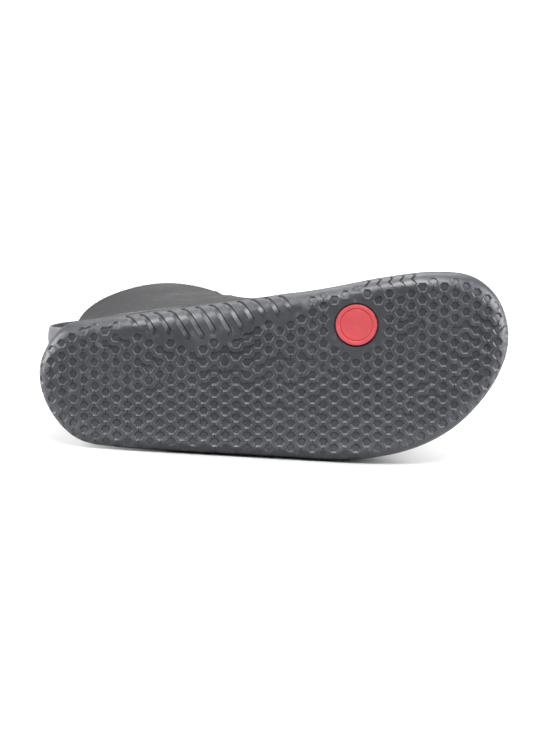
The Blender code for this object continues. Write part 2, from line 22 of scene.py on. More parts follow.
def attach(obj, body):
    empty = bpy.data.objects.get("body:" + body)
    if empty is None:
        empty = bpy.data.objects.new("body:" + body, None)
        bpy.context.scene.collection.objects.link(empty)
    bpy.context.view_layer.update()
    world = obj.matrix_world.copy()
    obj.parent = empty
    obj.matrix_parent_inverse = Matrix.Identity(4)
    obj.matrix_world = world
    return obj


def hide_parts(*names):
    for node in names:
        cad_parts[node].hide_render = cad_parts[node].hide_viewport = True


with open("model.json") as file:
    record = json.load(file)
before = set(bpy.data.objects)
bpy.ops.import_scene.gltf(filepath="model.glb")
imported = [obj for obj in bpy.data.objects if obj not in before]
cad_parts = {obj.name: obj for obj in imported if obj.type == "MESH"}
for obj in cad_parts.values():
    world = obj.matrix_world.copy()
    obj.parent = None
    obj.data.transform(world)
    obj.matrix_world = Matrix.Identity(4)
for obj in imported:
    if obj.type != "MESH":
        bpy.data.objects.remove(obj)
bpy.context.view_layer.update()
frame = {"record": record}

bl_info = {
    "name": "Barefoot Boot Looks",
    "version": (1, 0, 0),
    "blender": (4, 5, 0),
    "location": "View3D > Sidebar > Boot",
    "description": "Dresses the packed barefoot boot in rubber, leather, lace and webbing, in a studio",
    "category": "Object",
}

BODY = "root"
MM = 0.001


def table(columns, *rows):
    """Rows of values with named columns."""
    Row = namedtuple("Row", columns)
    return tuple(Row(*row) for row in rows)


# Sole, as in the part's source
SOLE_LENGTH = 285 * MM
TREAD_TO_FLOOR = 5 * MM
RIM_WALL = 2.6 * MM
SIDE_WALL_HEIGHT = 15 * MM
END_WALL_RISE = 4 * MM
TOE_SPRING = 7 * MM
TOE_SPRING_START = 208 * MM
ARCH_RISE = 6 * MM
ARCH_CENTRE = 112 * MM
ARCH_HALF_LENGTH = 62 * MM
ARCH_INNER_START = 2 * MM
ARCH_INNER_END = 36 * MM
INLAY_CENTRE = np.array((194, -15.4)) * MM
INLAY_RADIUS = 13 * MM
INLAY_THICKNESS = 1.5 * MM
FIT_GAP = 0.3 * MM
INLAY_MOUTH = INLAY_RADIUS + FIT_GAP

# Upper, tongue and footbed, as in the part's source
UPPER_WALL = 2.0 * MM
INSOLE_THICKNESS = 3.0 * MM
TONGUE_THICKNESS = 2.6 * MM
TONGUE_GAP = 0.4 * MM
COLLAR_LEVEL = 13.0
THROAT_LEVEL = 6.3
LOOP_WIDTH = 24 * MM
LOOP_WEBBING = 1.4 * MM

# Lacing, as in the part's source
EYELET_LEVELS = (6.85, 8.0, 9.1, 10.2, 11.3, 12.4)
EYELET_TO_EDGE = 8 * MM
EYELET_BARREL_RADIUS = 2.1 * MM
EYELET_BORE_RADIUS = 1.6 * MM
EYELET_FLANGE_RADIUS = 3.9 * MM
EYELET_FLANGE = 0.7 * MM
EYELET_SEAT = 0.5 * MM
EYELET_BARREL = 1.4 * MM
LACE_RADIUS = 1.7 * MM
LACE_DIP = 1.6 * MM

OUTLINE = table(
    "along outer inner",
    (0.0, 0.0, 0.0),
    (4.9, 20.9, 17.0),
    (19.1, 38.5, 30.8),
    (41.7, 45.8, 33.2),
    (71.2, 50.9, 33.7),
    (105.6, 56.6, 34.1),
    (142.5, 62.4, 35.7),
    (179.4, 68.1, 37.7),
    (213.7, 66.7, 40.5),
    (243.3, 57.0, 40.4),
    (265.9, 39.7, 34.9),
    (280.1, 19.8, 20.6),
    (285.0, 0.0, 0.0),
)

# The outside of the cup, from the edge of the flat tread up to the widest line
CUP_SIDE = table(
    "inset height",
    (9.0, 0.0),
    (5.6, 0.6),
    (3.0, 2.0),
    (1.2, 4.4),
    (0.3, 7.6),
    (0.0, 11.0),
)

# From the widest line to the floor of the cup: inset from the outline, and drop below the lip.
# A row with a share instead of a drop stands at that share of the way from the widest line to the lip.
LIP = table(
    "inset drop share",
    (0.05, 0.0, 0.30),
    (0.15, 2.3, 1.0),
    (0.22, 1.95, 1.0),
    (0.72, 1.75, 1.0),
    (0.72, 1.35, 1.0),
    (0.26, 1.15, 1.0),
    (0.30, 0.5, 1.0),
    (0.52, 0.12, 1.0),
    (0.95, 0.0, 1.0),
    (2.15, 0.0, 1.0),
    (2.5, 0.12, 1.0),
    (2.6, 0.5, 1.0),
)

# Levels of the last, as in the part's source
LAST = table(
    "back_x back_z front_x front_z inset heel ball outer inner oval",
    (2.9, 5.3, 282.1, 5.3, 2.9, 1.00, 1.00, 60.0, 38.0, 0.00),
    (2.9, 20.5, 282.1, 20.5, 2.9, 1.00, 1.00, 60.0, 38.0, 0.00),
    (2.6, 28.0, 277.5, 27.0, 2.6, 1.00, 0.98, 58.0, 38.0, 0.00),
    (3.6, 37.0, 267.0, 33.5, 2.6, 0.97, 0.91, 54.0, 37.0, 0.08),
    (5.4, 47.0, 250.0, 41.0, 2.6, 0.92, 0.80, 50.0, 35.5, 0.20),
    (7.8, 57.0, 227.0, 49.5, 2.6, 0.88, 0.66, 46.0, 33.5, 0.38),
    (10.2, 67.0, 202.0, 59.5, 2.6, 0.85, 0.52, 43.0, 31.5, 0.56),
    (12.2, 77.0, 178.5, 71.0, 2.6, 0.83, 0.44, 42.0, 30.5, 0.74),
    (13.4, 87.0, 158.5, 84.0, 2.6, 0.82, 0.42, 41.5, 30.0, 0.88),
    (13.8, 97.0, 143.5, 97.5, 2.6, 0.82, 0.42, 41.3, 29.6, 0.96),
    (13.4, 107.0, 132.5, 111.0, 2.6, 0.82, 0.42, 41.5, 29.6, 1.00),
    (12.2, 117.0, 125.0, 124.5, 2.6, 0.82, 0.42, 42.0, 30.0, 1.00),
    (10.6, 127.0, 120.0, 137.0, 2.6, 0.82, 0.42, 43.0, 30.6, 1.00),
    (9.0, 136.0, 116.8, 147.0, 2.6, 0.82, 0.42, 44.0, 31.2, 1.00),
    (7.4, 146.0, 114.0, 158.0, 2.6, 0.82, 0.42, 45.0, 31.8, 1.00),
)

THROAT = table(
    "level half_gap",
    (THROAT_LEVEL, 0.0),
    (6.36, 3.0),
    (6.55, 5.0),
    (8.0, 7.0),
    (COLLAR_LEVEL, 11.0),
)

TONGUE = table(
    "level half_width",
    (5.7, 17.0),
    (6.4, 20.0),
    (7.5, 22.0),
    (9.0, 23.5),
    (10.5, 24.5),
    (12.0, 25.5),
    (13.0, 26.0),
    (13.5, 24.5),
    (13.75, 21.0),
)

LOOP = table(
    "level height",
    (10.4, 1.8),
    (10.9, 2.4),
    (11.4, 6.0),
    (12.1, 12.0),
    (12.8, 16.2),
    (13.4, 16.8),
    (13.8, 14.0),
    (14.0, 9.0),
    (13.95, 3.5),
    (13.75, -1.0),
    (13.4, -3.6),
    (12.8, -4.0),
    (12.0, -3.8),
)

# Tread lattice, counted in columns and rows from the inlay
LATTICE_TURN = math.radians(6.0)  # the rows of cells against the heel to toe line
LATTICE_COLUMNS = range(-38, 22)
LATTICE_ROWS = range(-12, 18)
COS_30 = math.cos(math.radians(30))
LAND, SIPE, CHANNEL, FUNNEL = range(4)  # what lies between a dimple and its neighbour
RIM_BEVEL = 0.55 * MM
RIM_DROP = 0.40 * MM
WALL_SLOPE = 0.22 * MM
WALL_SHARE = 0.72  # how much of a dimple's depth its wall takes up
FLOOR_FILLET = 0.50 * MM
CORNER_TRIM = 0.34 * MM
CORNER_ROUND = 0.4  # share of the trim that a corner's middle point comes in by
SIPE_DEPTH_SHARE = 0.55  # depth of a sipe against the dimples that it joins
INLAY_MARGIN = 1.2 * MM  # land between the inlay and the cells round it
TREAD_TOP_ARC = 0.3 * MM  # the grooves end this far below the widest line, on the rubber
TREAD_RING_COUNT = 640
TREAD_RING_STEP = 0.0025  # least turn between an even point of the ring and a groove's

# Dimples shrink at the heel, flatten on the rolled edge, and are soft where that edge turns to the floor
EDGE_FADE = 8 * MM
EDGE_SHRINK = 0.08
EDGE_SHALLOW = 0.3
HEEL_FADE = 90 * MM
HEEL_SHRINK = 0.07
SOFT_START = -10 * MM
SOFT_FADE = 20 * MM
SOFT_BAND = 4 * MM
SOFT_SHALLOW = 0.4
SOFT_SLOPE = 0.35 * MM

# The edge of the inlay's pocket: how far it is wider than the pocket's mouth, and its depth
POCKET_EDGE = table(
    "grow depth",
    (0.7, 0.0),
    (0.2, 0.15),
    (0.0, 0.5),
)
POCKET_SIDES = 80
POCKET_MARGIN = 2.2 * MM  # no loose points this near the pocket
LOOSE_INSETS = (-5.0, -3.6, -2.2, -0.8, 0.8, 2.6, 4.8, 7.4)
LOOSE_TO_RING = 0.5 * MM
LOOSE_TO_GROOVE = 0.9 * MM
LOOSE_TO_CELL = 1.12  # against a cell's radius

# How far below the widest line the dimples end, on the rubber
EDGE_BAND = table(
    "along arc",
    (0, 0.4),
    (35, 0.8),
    (65, 4.2),
    (236, 4.2),
    (262, 2.6),
    (278, 1.2),
)

# Fields where neighbouring dimples run together in waves: middles, reaches and the chance of a link
LINK_FIELDS = table(
    "along across reach_along reach_across share",
    (50, -24, 14, 7, 0.65),
    (68, -10, 14, 8, 0.40),
    (116, 2, 30, 13, 0.85),
    (156, 10, 14, 18, 0.55),
    (224, -8, 9, 7, 0.60),
    (265, -6, 14, 6, 0.70),
    (225, 30, 8, 9, 0.60),
    (258, 16, 8, 10, 0.40),
)
SIPE_SHARE = 0.92  # chance of a sipe between two single dimples

# Arch ribs, and how far the grooved fields reach in from the inner edge, measured on the rubber
RIB_COUNT = 12
RIB_FIRST = 60 * MM
RIB_PITCH = 8.4 * MM
RIB_SLANT = 0.5
RIB_HALF_WIDTH = 1.55 * MM
RIB_KINK = 0.35
RIB_SHARES = (0.75, 0.75, 0.6, 0.6)
RIB_LEAN = 0.6
GROOVE_CLEARANCE = 0.25 * MM
GROOVE_WALL = 0.32 * MM
GROOVE_OVERSHOOT = 12 * MM  # a groove's middle line starts this far outside the edge
GROOVE_STEP = 1.0 * MM
HOOK_LENGTH = 2.6 * MM
ARCH_FIELD = table(
    "along reach",
    (48, 0.0),
    (58, 10.0),
    (78, 16.0),
    (95, 21.0),
    (117, 20.0),
    (148, 12.5),
    (166, 7.5),
    (171, 0.0),
    (202, 0.0),
    (205, 6.0),
    (234, 6.0),
    (238, 0.0),
)

# Zigzag grooves over the inner edge beside the big toe
ZIGZAG_PLACES = (206, 213, 220, 227, 234)
ZIGZAG_STEP = 4.0 * MM
ZIGZAG_BACK = 1.3  # the middle stroke against the step
ZIGZAG_HALF_WIDTH = 0.75 * MM
Groove = namedtuple("Groove", "path half_width shares lean")

# Upper's panels. SEAM is the quarters' lower edge, which is also the counter's upper edge behind it.
SEAM = table(
    "turn level",
    (0.0, 7.6),
    (0.3, 7.35),
    (0.65, 6.1),
    (1.0, 3.9),
    (1.25, 1.9),
    (1.42, 0.6),
    (1.52, 0.6),
    (1.72, 1.9),
    (1.96, 3.2),
    (2.22, 4.2),
    (2.5, 4.85),
    (2.85, 5.1),
    (math.pi, 5.1),
)
COUNTER_END = 1.47  # turn where the counter gives way to the vamp, hidden in the cup

# How far the eyestay reaches from the facing's edge, or from the middle of the vamp below the throat
EYESTAY = table(
    "level reach",
    (0.0, 30.0),
    (4.0, 28.0),
    (4.8, 10.0),
    (5.1, 5.0),
    (5.35, 10.5),
    (5.7, 13.6),
    (6.3, 15.4),
    (14.0, 15.4),
)
EYESTAY_SHARE = 0.86  # share of each side's columns that lie behind the eyestay
PANEL_STEP = 0.45 * MM  # thickness that an overlay adds

# Creases across the vamp at the ball of the foot: place on the axis, depth and half width
VAMP_CREASES = table(
    "along depth half_width",
    (222.0, 0.55, 2.6),
    (213.5, 0.85, 2.9),
    (204.5, 0.70, 2.8),
)
CREASE_SLANT = -0.22  # a crease runs back towards the outer side
CREASE_WAVE = 1.2
CREASE_BOTTOM = 24  # height where the creases fade in, above the ground
CREASE_TOP_LEVEL = 5.9  # level where they end below the throat
CREASE_SWELL_WIDTH = 0.8  # against the crease's half width

# Folds round the ankle: level at the side, depth, half width in levels, and how much they climb to the back
ANKLE_FOLDS = table(
    "level depth half_width climb",
    (7.3, 0.9, 0.30, 0.55),
    (8.15, 1.25, 0.33, 0.35),
    (9.05, 0.8, 0.30, -0.25),
)
FOLD_WAVE = 0.10  # in levels
ANKLE_TURN = 1.75  # the folds are deepest at this turn, and show again at the heel
ANKLE_REACH = 0.55
HEEL_REACH = 0.4
FOLD_END_TURN = 2.72
SLACK_END_TURN = 2.6
COLLAR_END_TURN = 2.75
LASTED_LEVEL = 1.15  # the leather is drawn tight up to this level
SLACK_LEVEL = 6.5
SLACK_SWELL = 0.3
COLLAR_ROLL = 0.75  # how far the padded collar swells
COLLAR_ROLL_LEVELS = 1.1

# Stitching on the upper: columns up the facings, and rows along the seam with the columns where each runs
STITCH_PROUD = 0.12 * MM
FACING_STITCHES = (0.868, 0.882, 0.985)
COLLAR_STITCHES = 1.975
SEAM_STITCHES = table(
    "climb start end",
    (1.03, 0.505, 0.85),
    (1.05, 0.505, 0.85),
    (0.975, 0.0, 0.40),
    (0.955, 0.0, 0.40),
)

# Clearance of the pressed leather, and of the thread on it, off the floor
LEATHER_TO_FLOOR = 0.05 * MM
THREAD_TO_FLOOR = 0.02 * MM

# Mesh counts and sizes of the soft pieces
TONGUE_ROWS = 70
TONGUE_COLUMNS = 41
TONGUE_PILLOW = 0.5 * MM
LACE_STEP = 0.42 * MM
LACE_BEND = 3.0 * MM
LACE_END = -0.9 * MM
LACE_SIDES = 20
LACE_STRANDS = 5
LACE_PITCH = 2.6 * MM
LACE_CORE = 0.94  # against the lace's radius
LACE_RELIEF = 0.07
LACE_PINCH = 0.22  # how much thinner the lace is in an eyelet
LACE_PINCH_START = 1.2 * MM
LACE_PINCH_REACH = 4 * MM
LOOP_ROWS = 150
LOOP_COLUMNS = 33
LOOP_EDGE = 0.35 * MM
LOOP_RIB = 0.07 * MM
LOOP_RIB_PITCH = 1.5 * MM


def through(knots, values, at):
    """A smooth curve through a table's values: cubic pieces whose slopes come from the neighbouring rows."""
    knots = np.asarray(knots, float)
    values = np.asarray(values, float)
    slopes = np.gradient(values, knots)
    piece = np.clip(np.searchsorted(knots, at) - 1, 0, len(knots) - 2)
    step = knots[piece + 1] - knots[piece]
    t = (at - knots[piece]) / step
    start = values[piece] * (1 + 2 * t) * (1 - t) ** 2 + step * slopes[piece] * t * (1 - t) ** 2
    end = values[piece + 1] * t * t * (3 - 2 * t) + step * slopes[piece + 1] * t * t * (t - 1)
    return start + end


def smoothstep(value):
    """0 below 0, 1 above 1, and a soft rise between them."""
    t = np.clip(value, 0.0, 1.0)
    return t * t * (3 - 2 * t)


def table_value(rows, at):
    """A two-column table's second column, read at a value of its first by straight lines."""
    return np.interp(at, *np.array(rows).T)


def table_curve(rows, at):
    """A two-column table's second column, read at a value of its first by a smooth curve."""
    return through(*np.array(rows).T, at)


def way_along(line):
    """How far each point of a line lies from its start, along the line."""
    return np.concatenate([[0], np.cumsum(np.linalg.norm(np.diff(line, axis=0), axis=1))])


def closed_outline():
    """The outline's half widths against the turn round the foot, with two more rows past each end."""
    along = np.array([row.along for row in OUTLINE]) * MM
    turns = np.arccos(np.clip(1 - 2 * along / SOLE_LENGTH, -1, 1))
    outer = np.array([row.outer for row in OUTLINE]) * MM
    inner = -np.array([row.inner for row in OUTLINE]) * MM
    loop_turns = np.concatenate([-turns[:0:-1], turns])
    loop_values = np.concatenate([inner[:0:-1], outer])
    full = 2 * math.pi
    loop_turns = np.concatenate([loop_turns[-3:-1] - full, loop_turns, loop_turns[1:3] + full])
    loop_values = np.concatenate([loop_values[-3:-1], loop_values, loop_values[1:3]])
    return loop_turns, loop_values


OUTLINE_TURNS, OUTLINE_WIDTHS = closed_outline()


def wrapped(turn):
    """The same turn between -pi and pi: 0 at the heel, pi at the toe, positive on the outer side."""
    return (np.asarray(turn, float) + math.pi) % (2 * math.pi) - math.pi


def outline(turn, inset=0.0):
    """(x, y) of the sole's widest outline at a turn, moved inwards by inset."""
    def edge(at):
        return SOLE_LENGTH * (1 - np.cos(at)) / 2, through(OUTLINE_TURNS, OUTLINE_WIDTHS, wrapped(at))

    nudge = 1e-4
    x, y = edge(turn)
    ahead_x, ahead_y = edge(np.asarray(turn) + nudge)
    behind_x, behind_y = edge(np.asarray(turn) - nudge)
    run_x, run_y = ahead_x - behind_x, ahead_y - behind_y
    length = np.hypot(run_x, run_y)
    return x + inset * run_y / length, y - inset * run_x / length


def rise(x, y):
    """How far the sole lifts off the ground plane: the toe spring and the arch on the inner side."""
    toe = np.clip((x - TOE_SPRING_START) / (SOLE_LENGTH - TOE_SPRING_START), 0, 1)
    reach = np.clip(np.abs(x - ARCH_CENTRE) / ARCH_HALF_LENGTH, 0, 1)
    inward = smoothstep((-y - ARCH_INNER_START) / (ARCH_INNER_END - ARCH_INNER_START))
    return TOE_SPRING * toe ** 2 + ARCH_RISE * (1 - smoothstep(reach)) * inward


def lip_height(turn):
    """The top of the cup's side wall, above the ground before the toe spring and the arch."""
    return SIDE_WALL_HEIGHT + END_WALL_RISE * np.cos(turn) ** 2


def skin(level, turn):
    """A point on the outside of the upper, as x, y, z in the last column."""
    turn = wrapped(turn)
    levels = np.arange(len(LAST))
    row = LAST[0]._make(through(levels, column, level) for column in np.array(LAST).T)
    inset = row.inset * MM
    flat_x, flat_y = outline(turn, inset)
    share = np.clip((flat_x - inset) / (SOLE_LENGTH - 2 * inset), 0, 1)
    scale = row.heel + (row.ball - row.heel) * smoothstep(share)
    oval_y = np.where(turn >= 0, row.outer, row.inner) * MM * np.sin(turn)
    x = (row.back_x + share * (row.front_x - row.back_x)) * MM
    y = flat_y * scale * (1 - row.oval) + oval_y * row.oval
    flat_z = (row.back_z + share * (row.front_z - row.back_z)) * MM
    low = 1 - smoothstep((flat_z - LAST[1].back_z * MM) / (40 * MM))
    return np.stack(np.broadcast_arrays(x, y, flat_z + rise(x, y) * low), axis=-1)


def skin_normal(level, turn):
    """The outward direction of the upper's outside."""
    nudge = 1e-3
    around = skin(level, turn + nudge) - skin(level, turn - nudge)
    upward = skin(level + nudge, turn) - skin(level - nudge, turn)
    normal = np.cross(upward, around)
    return normal / np.linalg.norm(normal, axis=-1, keepdims=True)


def off_skin(level, turn, height):
    """A point at a height off the upper's outside, along its outward normal."""
    level, turn = np.broadcast_arrays(np.asarray(level, float), np.asarray(turn, float))
    return skin(level, turn) + np.asarray(height)[..., None] * skin_normal(level, turn)


def edge_turn(level, half_width, side):
    """The turn on one side (+1 outer, -1 inner) where a level's front comes within half_width of the axis."""
    turns = side * np.linspace(0.5 * math.pi, math.pi, 400)
    widths = np.abs(skin(level, turns)[:, 1])
    return float(np.interp(-half_width, -widths, turns))


def facing_turn(level, side):
    """The turn of the facing's edge, which is the toe's own turn below the throat."""
    gap = float(table_value(THROAT, level)) * MM
    return side * math.pi if gap == 0 else edge_turn(level, gap, side)


def walked_turn(level, start, side, distance):
    """The turn reached by walking a distance along a level, from a turn towards the heel."""
    turns = np.linspace(start, start - side * 1.6, 320)
    return float(np.interp(distance, way_along(skin(level, turns)), turns))


def eyelet_places():
    """(name, level, turn) of each eyelet, in rows from the throat up."""
    places = []
    for side, side_name in ((1, "outer"), (-1, "inner")):
        for i, level in enumerate(EYELET_LEVELS):
            turn = walked_turn(level, facing_turn(level, side), side, EYELET_TO_EDGE)
            places.append((f"{side_name}_{i + 1}", level, turn))
    return places


def seat_matrix(level, turn, height):
    """A frame on the upper's outside with its Z axis along the outward normal."""
    seat = Vector(off_skin(level, turn, height))
    normal = Vector(skin_normal(np.asarray(level, float), np.asarray(turn, float)))
    return Matrix.Translation(seat) @ normal.to_track_quat("Z", "Y").to_matrix().to_4x4()


def lying_matrix():
    """From the upright boot's frame to the lying one, by the places of the record's two mounts in each."""
    upright = {"tread": Vector((150, 20, 0)) * MM, "footbed": Vector((40, 8, 8.3)) * MM}
    mounts = {mount["name"]: mount for mount in frame["record"]["mounts"]}
    up = Vector(mounts["footbed"]["axis"]).normalized()
    run = Vector(mounts["tread"]["pos_m"]) - Vector(mounts["footbed"]["pos_m"])
    run = (run - run.dot(up) * up).normalized()
    upright_run = upright["tread"] - upright["footbed"]
    forward = Quaternion(up, -math.atan2(upright_run.y, upright_run.x)) @ run
    turn = Matrix((forward, up.cross(forward), up)).transposed()
    shift = Vector(mounts["tread"]["pos_m"]) - turn @ upright["tread"]
    return Matrix.Translation(shift) @ turn.to_4x4()


LYING = lying_matrix()

# The sole's outline as a fine line, with the direction into the sole at each of its points
EDGE_TURNS = np.linspace(-math.pi, math.pi, 1440, endpoint=False)
EDGE_LINE = np.column_stack(outline(EDGE_TURNS))
EDGE_INWARD = np.column_stack(outline(EDGE_TURNS, 1.0)) - EDGE_LINE


def rolled_edge():
    """The cup's rolled side as columns, from the widest line to the flat tread: the way walked on the rubber,
    the inset, the height, and the shares of the direction into the rubber that point inwards and up."""
    climb = np.linspace(1, 0, 161)
    knots = np.linspace(0, 1, len(CUP_SIDE))
    inset = through(knots, [row.inset for row in CUP_SIDE], climb) * MM
    height = through(knots, [row.height for row in CUP_SIDE], climb) * MM
    walked = np.concatenate([[0], np.cumsum(np.hypot(np.diff(inset), np.diff(height)))])
    inwards = -np.gradient(height, walked)
    upwards = np.gradient(inset, walked)
    length = np.hypot(inwards, upwards)
    return walked, inset, height, inwards / length, upwards / length


ROLL_WALKED, ROLL_INSET, ROLL_HEIGHT, ROLL_INWARDS, ROLL_UPWARDS = rolled_edge()
ROLL_LENGTH = ROLL_WALKED[-1]
ROLL_SPARE = ROLL_LENGTH - ROLL_INSET[-1]  # how much wider the sole is with its rolled edge laid flat
TREAD_TOP_INSET = TREAD_TOP_ARC - ROLL_SPARE


def beside_edge(flat):
    """How far each place lies inside the outline, and the direction into the sole there."""
    inset = np.empty(len(flat))
    inward = np.empty((len(flat), 2))
    block = 4000
    for start in range(0, len(flat), block):
        part = slice(start, start + block)
        gaps = flat[part][:, None] - EDGE_LINE[None]
        near = np.einsum("ijk,ijk->ij", gaps, gaps).argmin(axis=1)
        inward[part] = EDGE_INWARD[near]
        inset[part] = ((flat[part] - EDGE_LINE[near]) * inward[part]).sum(axis=1)
    return inset, inward


def on_tread(flat, depth):
    """Points of the tread. Places are measured on the rubber as if its rolled edge lay flat."""
    flat = np.asarray(flat, float)
    depth = np.asarray(depth, float)
    inset, inward = beside_edge(flat)
    walked = inset + ROLL_SPARE
    shift = np.where(walked < ROLL_LENGTH, np.interp(walked, ROLL_WALKED, ROLL_INSET) - inset, 0.0)
    plan = flat + inward * shift[:, None]
    height = np.interp(walked, ROLL_WALKED, ROLL_HEIGHT) + rise(plan[:, 0], plan[:, 1])
    height += depth * np.interp(walked, ROLL_WALKED, ROLL_UPWARDS)
    plan += inward * (depth * np.interp(walked, ROLL_WALKED, ROLL_INWARDS))[:, None]
    return np.column_stack([plan, height])


class Patch:
    """Points and faces gathered for one mesh. Points of the tread have a flat place and a depth."""

    def __init__(self):
        self.flat = []
        self.depth = []
        self.faces = []
        self.shared = {}

    def add(self, place, depth=0.0):
        self.flat.append((float(place[0]), float(place[1])))
        self.depth.append(float(depth))
        return len(self.flat) - 1

    def share(self, place, depth=0.0):
        """The point at a place, added only once."""
        key = (round(float(place[0]), 5), round(float(place[1]), 5))
        if key not in self.shared:
            self.shared[key] = self.add(place, depth)
        return self.shared[key]

    def face(self, *corners):
        self.faces.append(corners)

    def fill(self, lines, loose, keep, depth_at):
        """Triangles among lines of points, closed by the outermost one. keep picks them by their middles."""
        numbers = sorted({number for line in lines for number in line}) + list(loose)
        order = {number: k for k, number in enumerate(numbers)}
        edges = [(order[a], order[b]) for line in lines for a, b in zip(line, line[1:]) if a != b]
        spots = [Vector(self.flat[number]) / MM for number in numbers]
        found, _, triangles, origins, _, _ = delaunay_2d_cdt(spots, edges, [], 1, 1e-5)
        own = []
        for spot, origin in zip(found, origins):
            place = np.array(spot) * MM
            own.append(numbers[origin[0]] if origin else self.add(place, depth_at(place[None])[0]))
        middles = np.array([np.mean([self.flat[own[k]] for k in triangle], axis=0) for triangle in triangles])
        for triangle, kept in zip(triangles, keep(middles)):
            if kept:
                self.face(*(own[k] for k in triangle))


class Lattice:
    """The honeycomb of the tread: places of cells, their neighbours and their dimples."""

    def __init__(self, settings):
        self.radius = settings.cell_radius
        self.share = settings.dimple_share
        self.depth = settings.dimple_depth
        self.sipe = settings.sipe_width / 2
        self.cells = [(column, row) for column in LATTICE_COLUMNS for row in LATTICE_ROWS]
        self.centres = np.array([self.centre(cell) for cell in self.cells])

    def centre(self, cell):
        column, row = cell
        along = 1.5 * self.radius * column
        across = 2 * COS_30 * self.radius * (row + 0.5 * (column % 2))
        cos, sin = math.cos(LATTICE_TURN), math.sin(LATTICE_TURN)
        return np.array((cos * along - sin * across, sin * along + cos * across)) + INLAY_CENTRE

    def neighbour(self, cell, side):
        """The cell across a side. Side 0 faces forwards and outwards, and side 1 straight outwards."""
        column, row = cell
        odd = column % 2
        steps = ((1, odd), (0, 1), (-1, odd), (-1, odd - 1), (0, -1), (1, odd - 1))
        return column + steps[side][0], row + steps[side][1]

    def on_side(self, centre, side, out, across):
        """A place beside a side: out along the side's normal from the centre, and across along the side."""
        angle = LATTICE_TURN + math.radians(30 + 60 * side)
        cos, sin = math.cos(angle), math.sin(angle)
        return centre + np.array((out * cos - across * sin, out * sin + across * cos))

    def on_corner(self, centre, corner, radius):
        angle = LATTICE_TURN + math.radians(60 * corner)
        return centre + radius * np.array((math.cos(angle), math.sin(angle)))

    def rings(self, place):
        """(radius, depth) of a dimple's loops at a place: rim, lip, foot of the wall and floor."""
        inset, _ = beside_edge(np.asarray(place)[None])
        band = table_value(EDGE_BAND, place[0] / MM) * MM
        edge = 1 - smoothstep((inset[0] + ROLL_SPARE - band - self.radius) / EDGE_FADE)
        heel = 1 - smoothstep(place[0] / HEEL_FADE)
        soft = edge * smoothstep((place[1] - SOFT_START) / SOFT_FADE) * min(1.0, band / SOFT_BAND)
        radius = self.share * self.radius * (1 - EDGE_SHRINK * edge) * (1 - HEEL_SHRINK * heel)
        depth = self.depth * (1 - EDGE_SHALLOW * edge - SOFT_SHALLOW * soft)
        return (
            (radius + RIM_BEVEL, 0.0),
            (radius, RIM_DROP * depth / self.depth),
            (radius - WALL_SLOPE - SOFT_SLOPE * soft, WALL_SHARE * depth),
            (radius - FLOOR_FILLET - SOFT_SLOPE * soft, depth),
        )

    def holds(self, cells, places):
        """Whether each place lies in one of a set of cells."""
        inside = np.zeros(len(places), bool)
        for k, place in enumerate(places):
            near = int(((self.centres - place) ** 2).sum(axis=1).argmin())
            inside[k] = self.cells[near] in cells
        return inside


def arch_reach(place):
    """How far a place lies inside the inner edge, and how far the ribbed field reaches there."""
    inset, inward = beside_edge(place)
    reach = table_value(ARCH_FIELD, place[:, 0] / MM) * MM
    return inset, np.where(inward[:, 1] > 0.5, reach, -1.0)


def tread_cells(lattice):
    """The cells that hold a dimple: on the tread, off the ribbed field and clear of the inlay."""
    corners = np.array([
        [lattice.on_corner(centre, k, lattice.radius) for k in range(6)] for centre in lattice.centres
    ])
    inset, _ = beside_edge(corners.reshape(-1, 2))
    inset = inset.reshape(-1, 6).min(axis=1)
    centre_inset, reach = arch_reach(lattice.centres)
    from_inlay = np.linalg.norm(corners - INLAY_CENTRE, axis=2).min(axis=1)
    good = inset + ROLL_SPARE > table_value(EDGE_BAND, lattice.centres[:, 0] / MM) * MM
    good &= (centre_inset > reach) & (from_inlay > INLAY_RADIUS + INLAY_MARGIN)
    good &= np.linalg.norm(lattice.centres - INLAY_CENTRE, axis=1) > INLAY_RADIUS
    return {cell for cell, kept in zip(lattice.cells, good) if kept}


def link_share(place):
    """The chance that a dimple at a place is joined to the next one."""
    x, y = place[0] / MM, place[1] / MM
    shares = []
    for field in LINK_FIELDS:
        along = (x - field.along) / field.reach_along
        across = (y - field.across) / field.reach_across
        shares.append(field.share * math.exp(-along ** 2 - across ** 2))
    return max(shares)


def link_cells(lattice, cells, seed):
    """What lies across each side of each cell. Waves of joined dimples run along the sole in LINK_FIELDS, and
    sipes run across it between the dimples that stay single."""
    chance = random.Random(seed)
    links = {(cell, side): LAND for cell in cells for side in range(6)}
    entered = {}
    joined = set()
    for cell in sorted(cells):
        share = link_share(lattice.centre(cell))
        for side in ((5, 0) if entered.get(cell, chance.choice((0, 5))) == 0 else (0, 5)):
            other = lattice.neighbour(cell, side)
            if other in cells and other not in entered and chance.random() < share:
                links[cell, side] = links[other, (side + 3) % 6] = CHANNEL
                entered[other] = side
                joined.update((cell, other))
                break
    for cell in sorted(cells):
        other = lattice.neighbour(cell, 1)
        if other not in cells or (cell in joined and other in joined) or chance.random() > SIPE_SHARE:
            continue
        links[cell, 1] = links[other, 4] = SIPE
        if other not in joined and chance.random() < link_share(lattice.centre(other)):
            links[other, 4] = FUNNEL
    return links


# One side of a cell: the cell's middle, the side's number, the points of its two ends from the rim down, and
# the cell's corners beside them
CellSide = namedtuple("CellSide", "centre number first last before after")


def straight_end(radius, sign):
    """How far from a side's middle its straight stretch ends on a dimple's loop of a radius."""
    return sign * (radius / 2 - CORNER_TRIM)


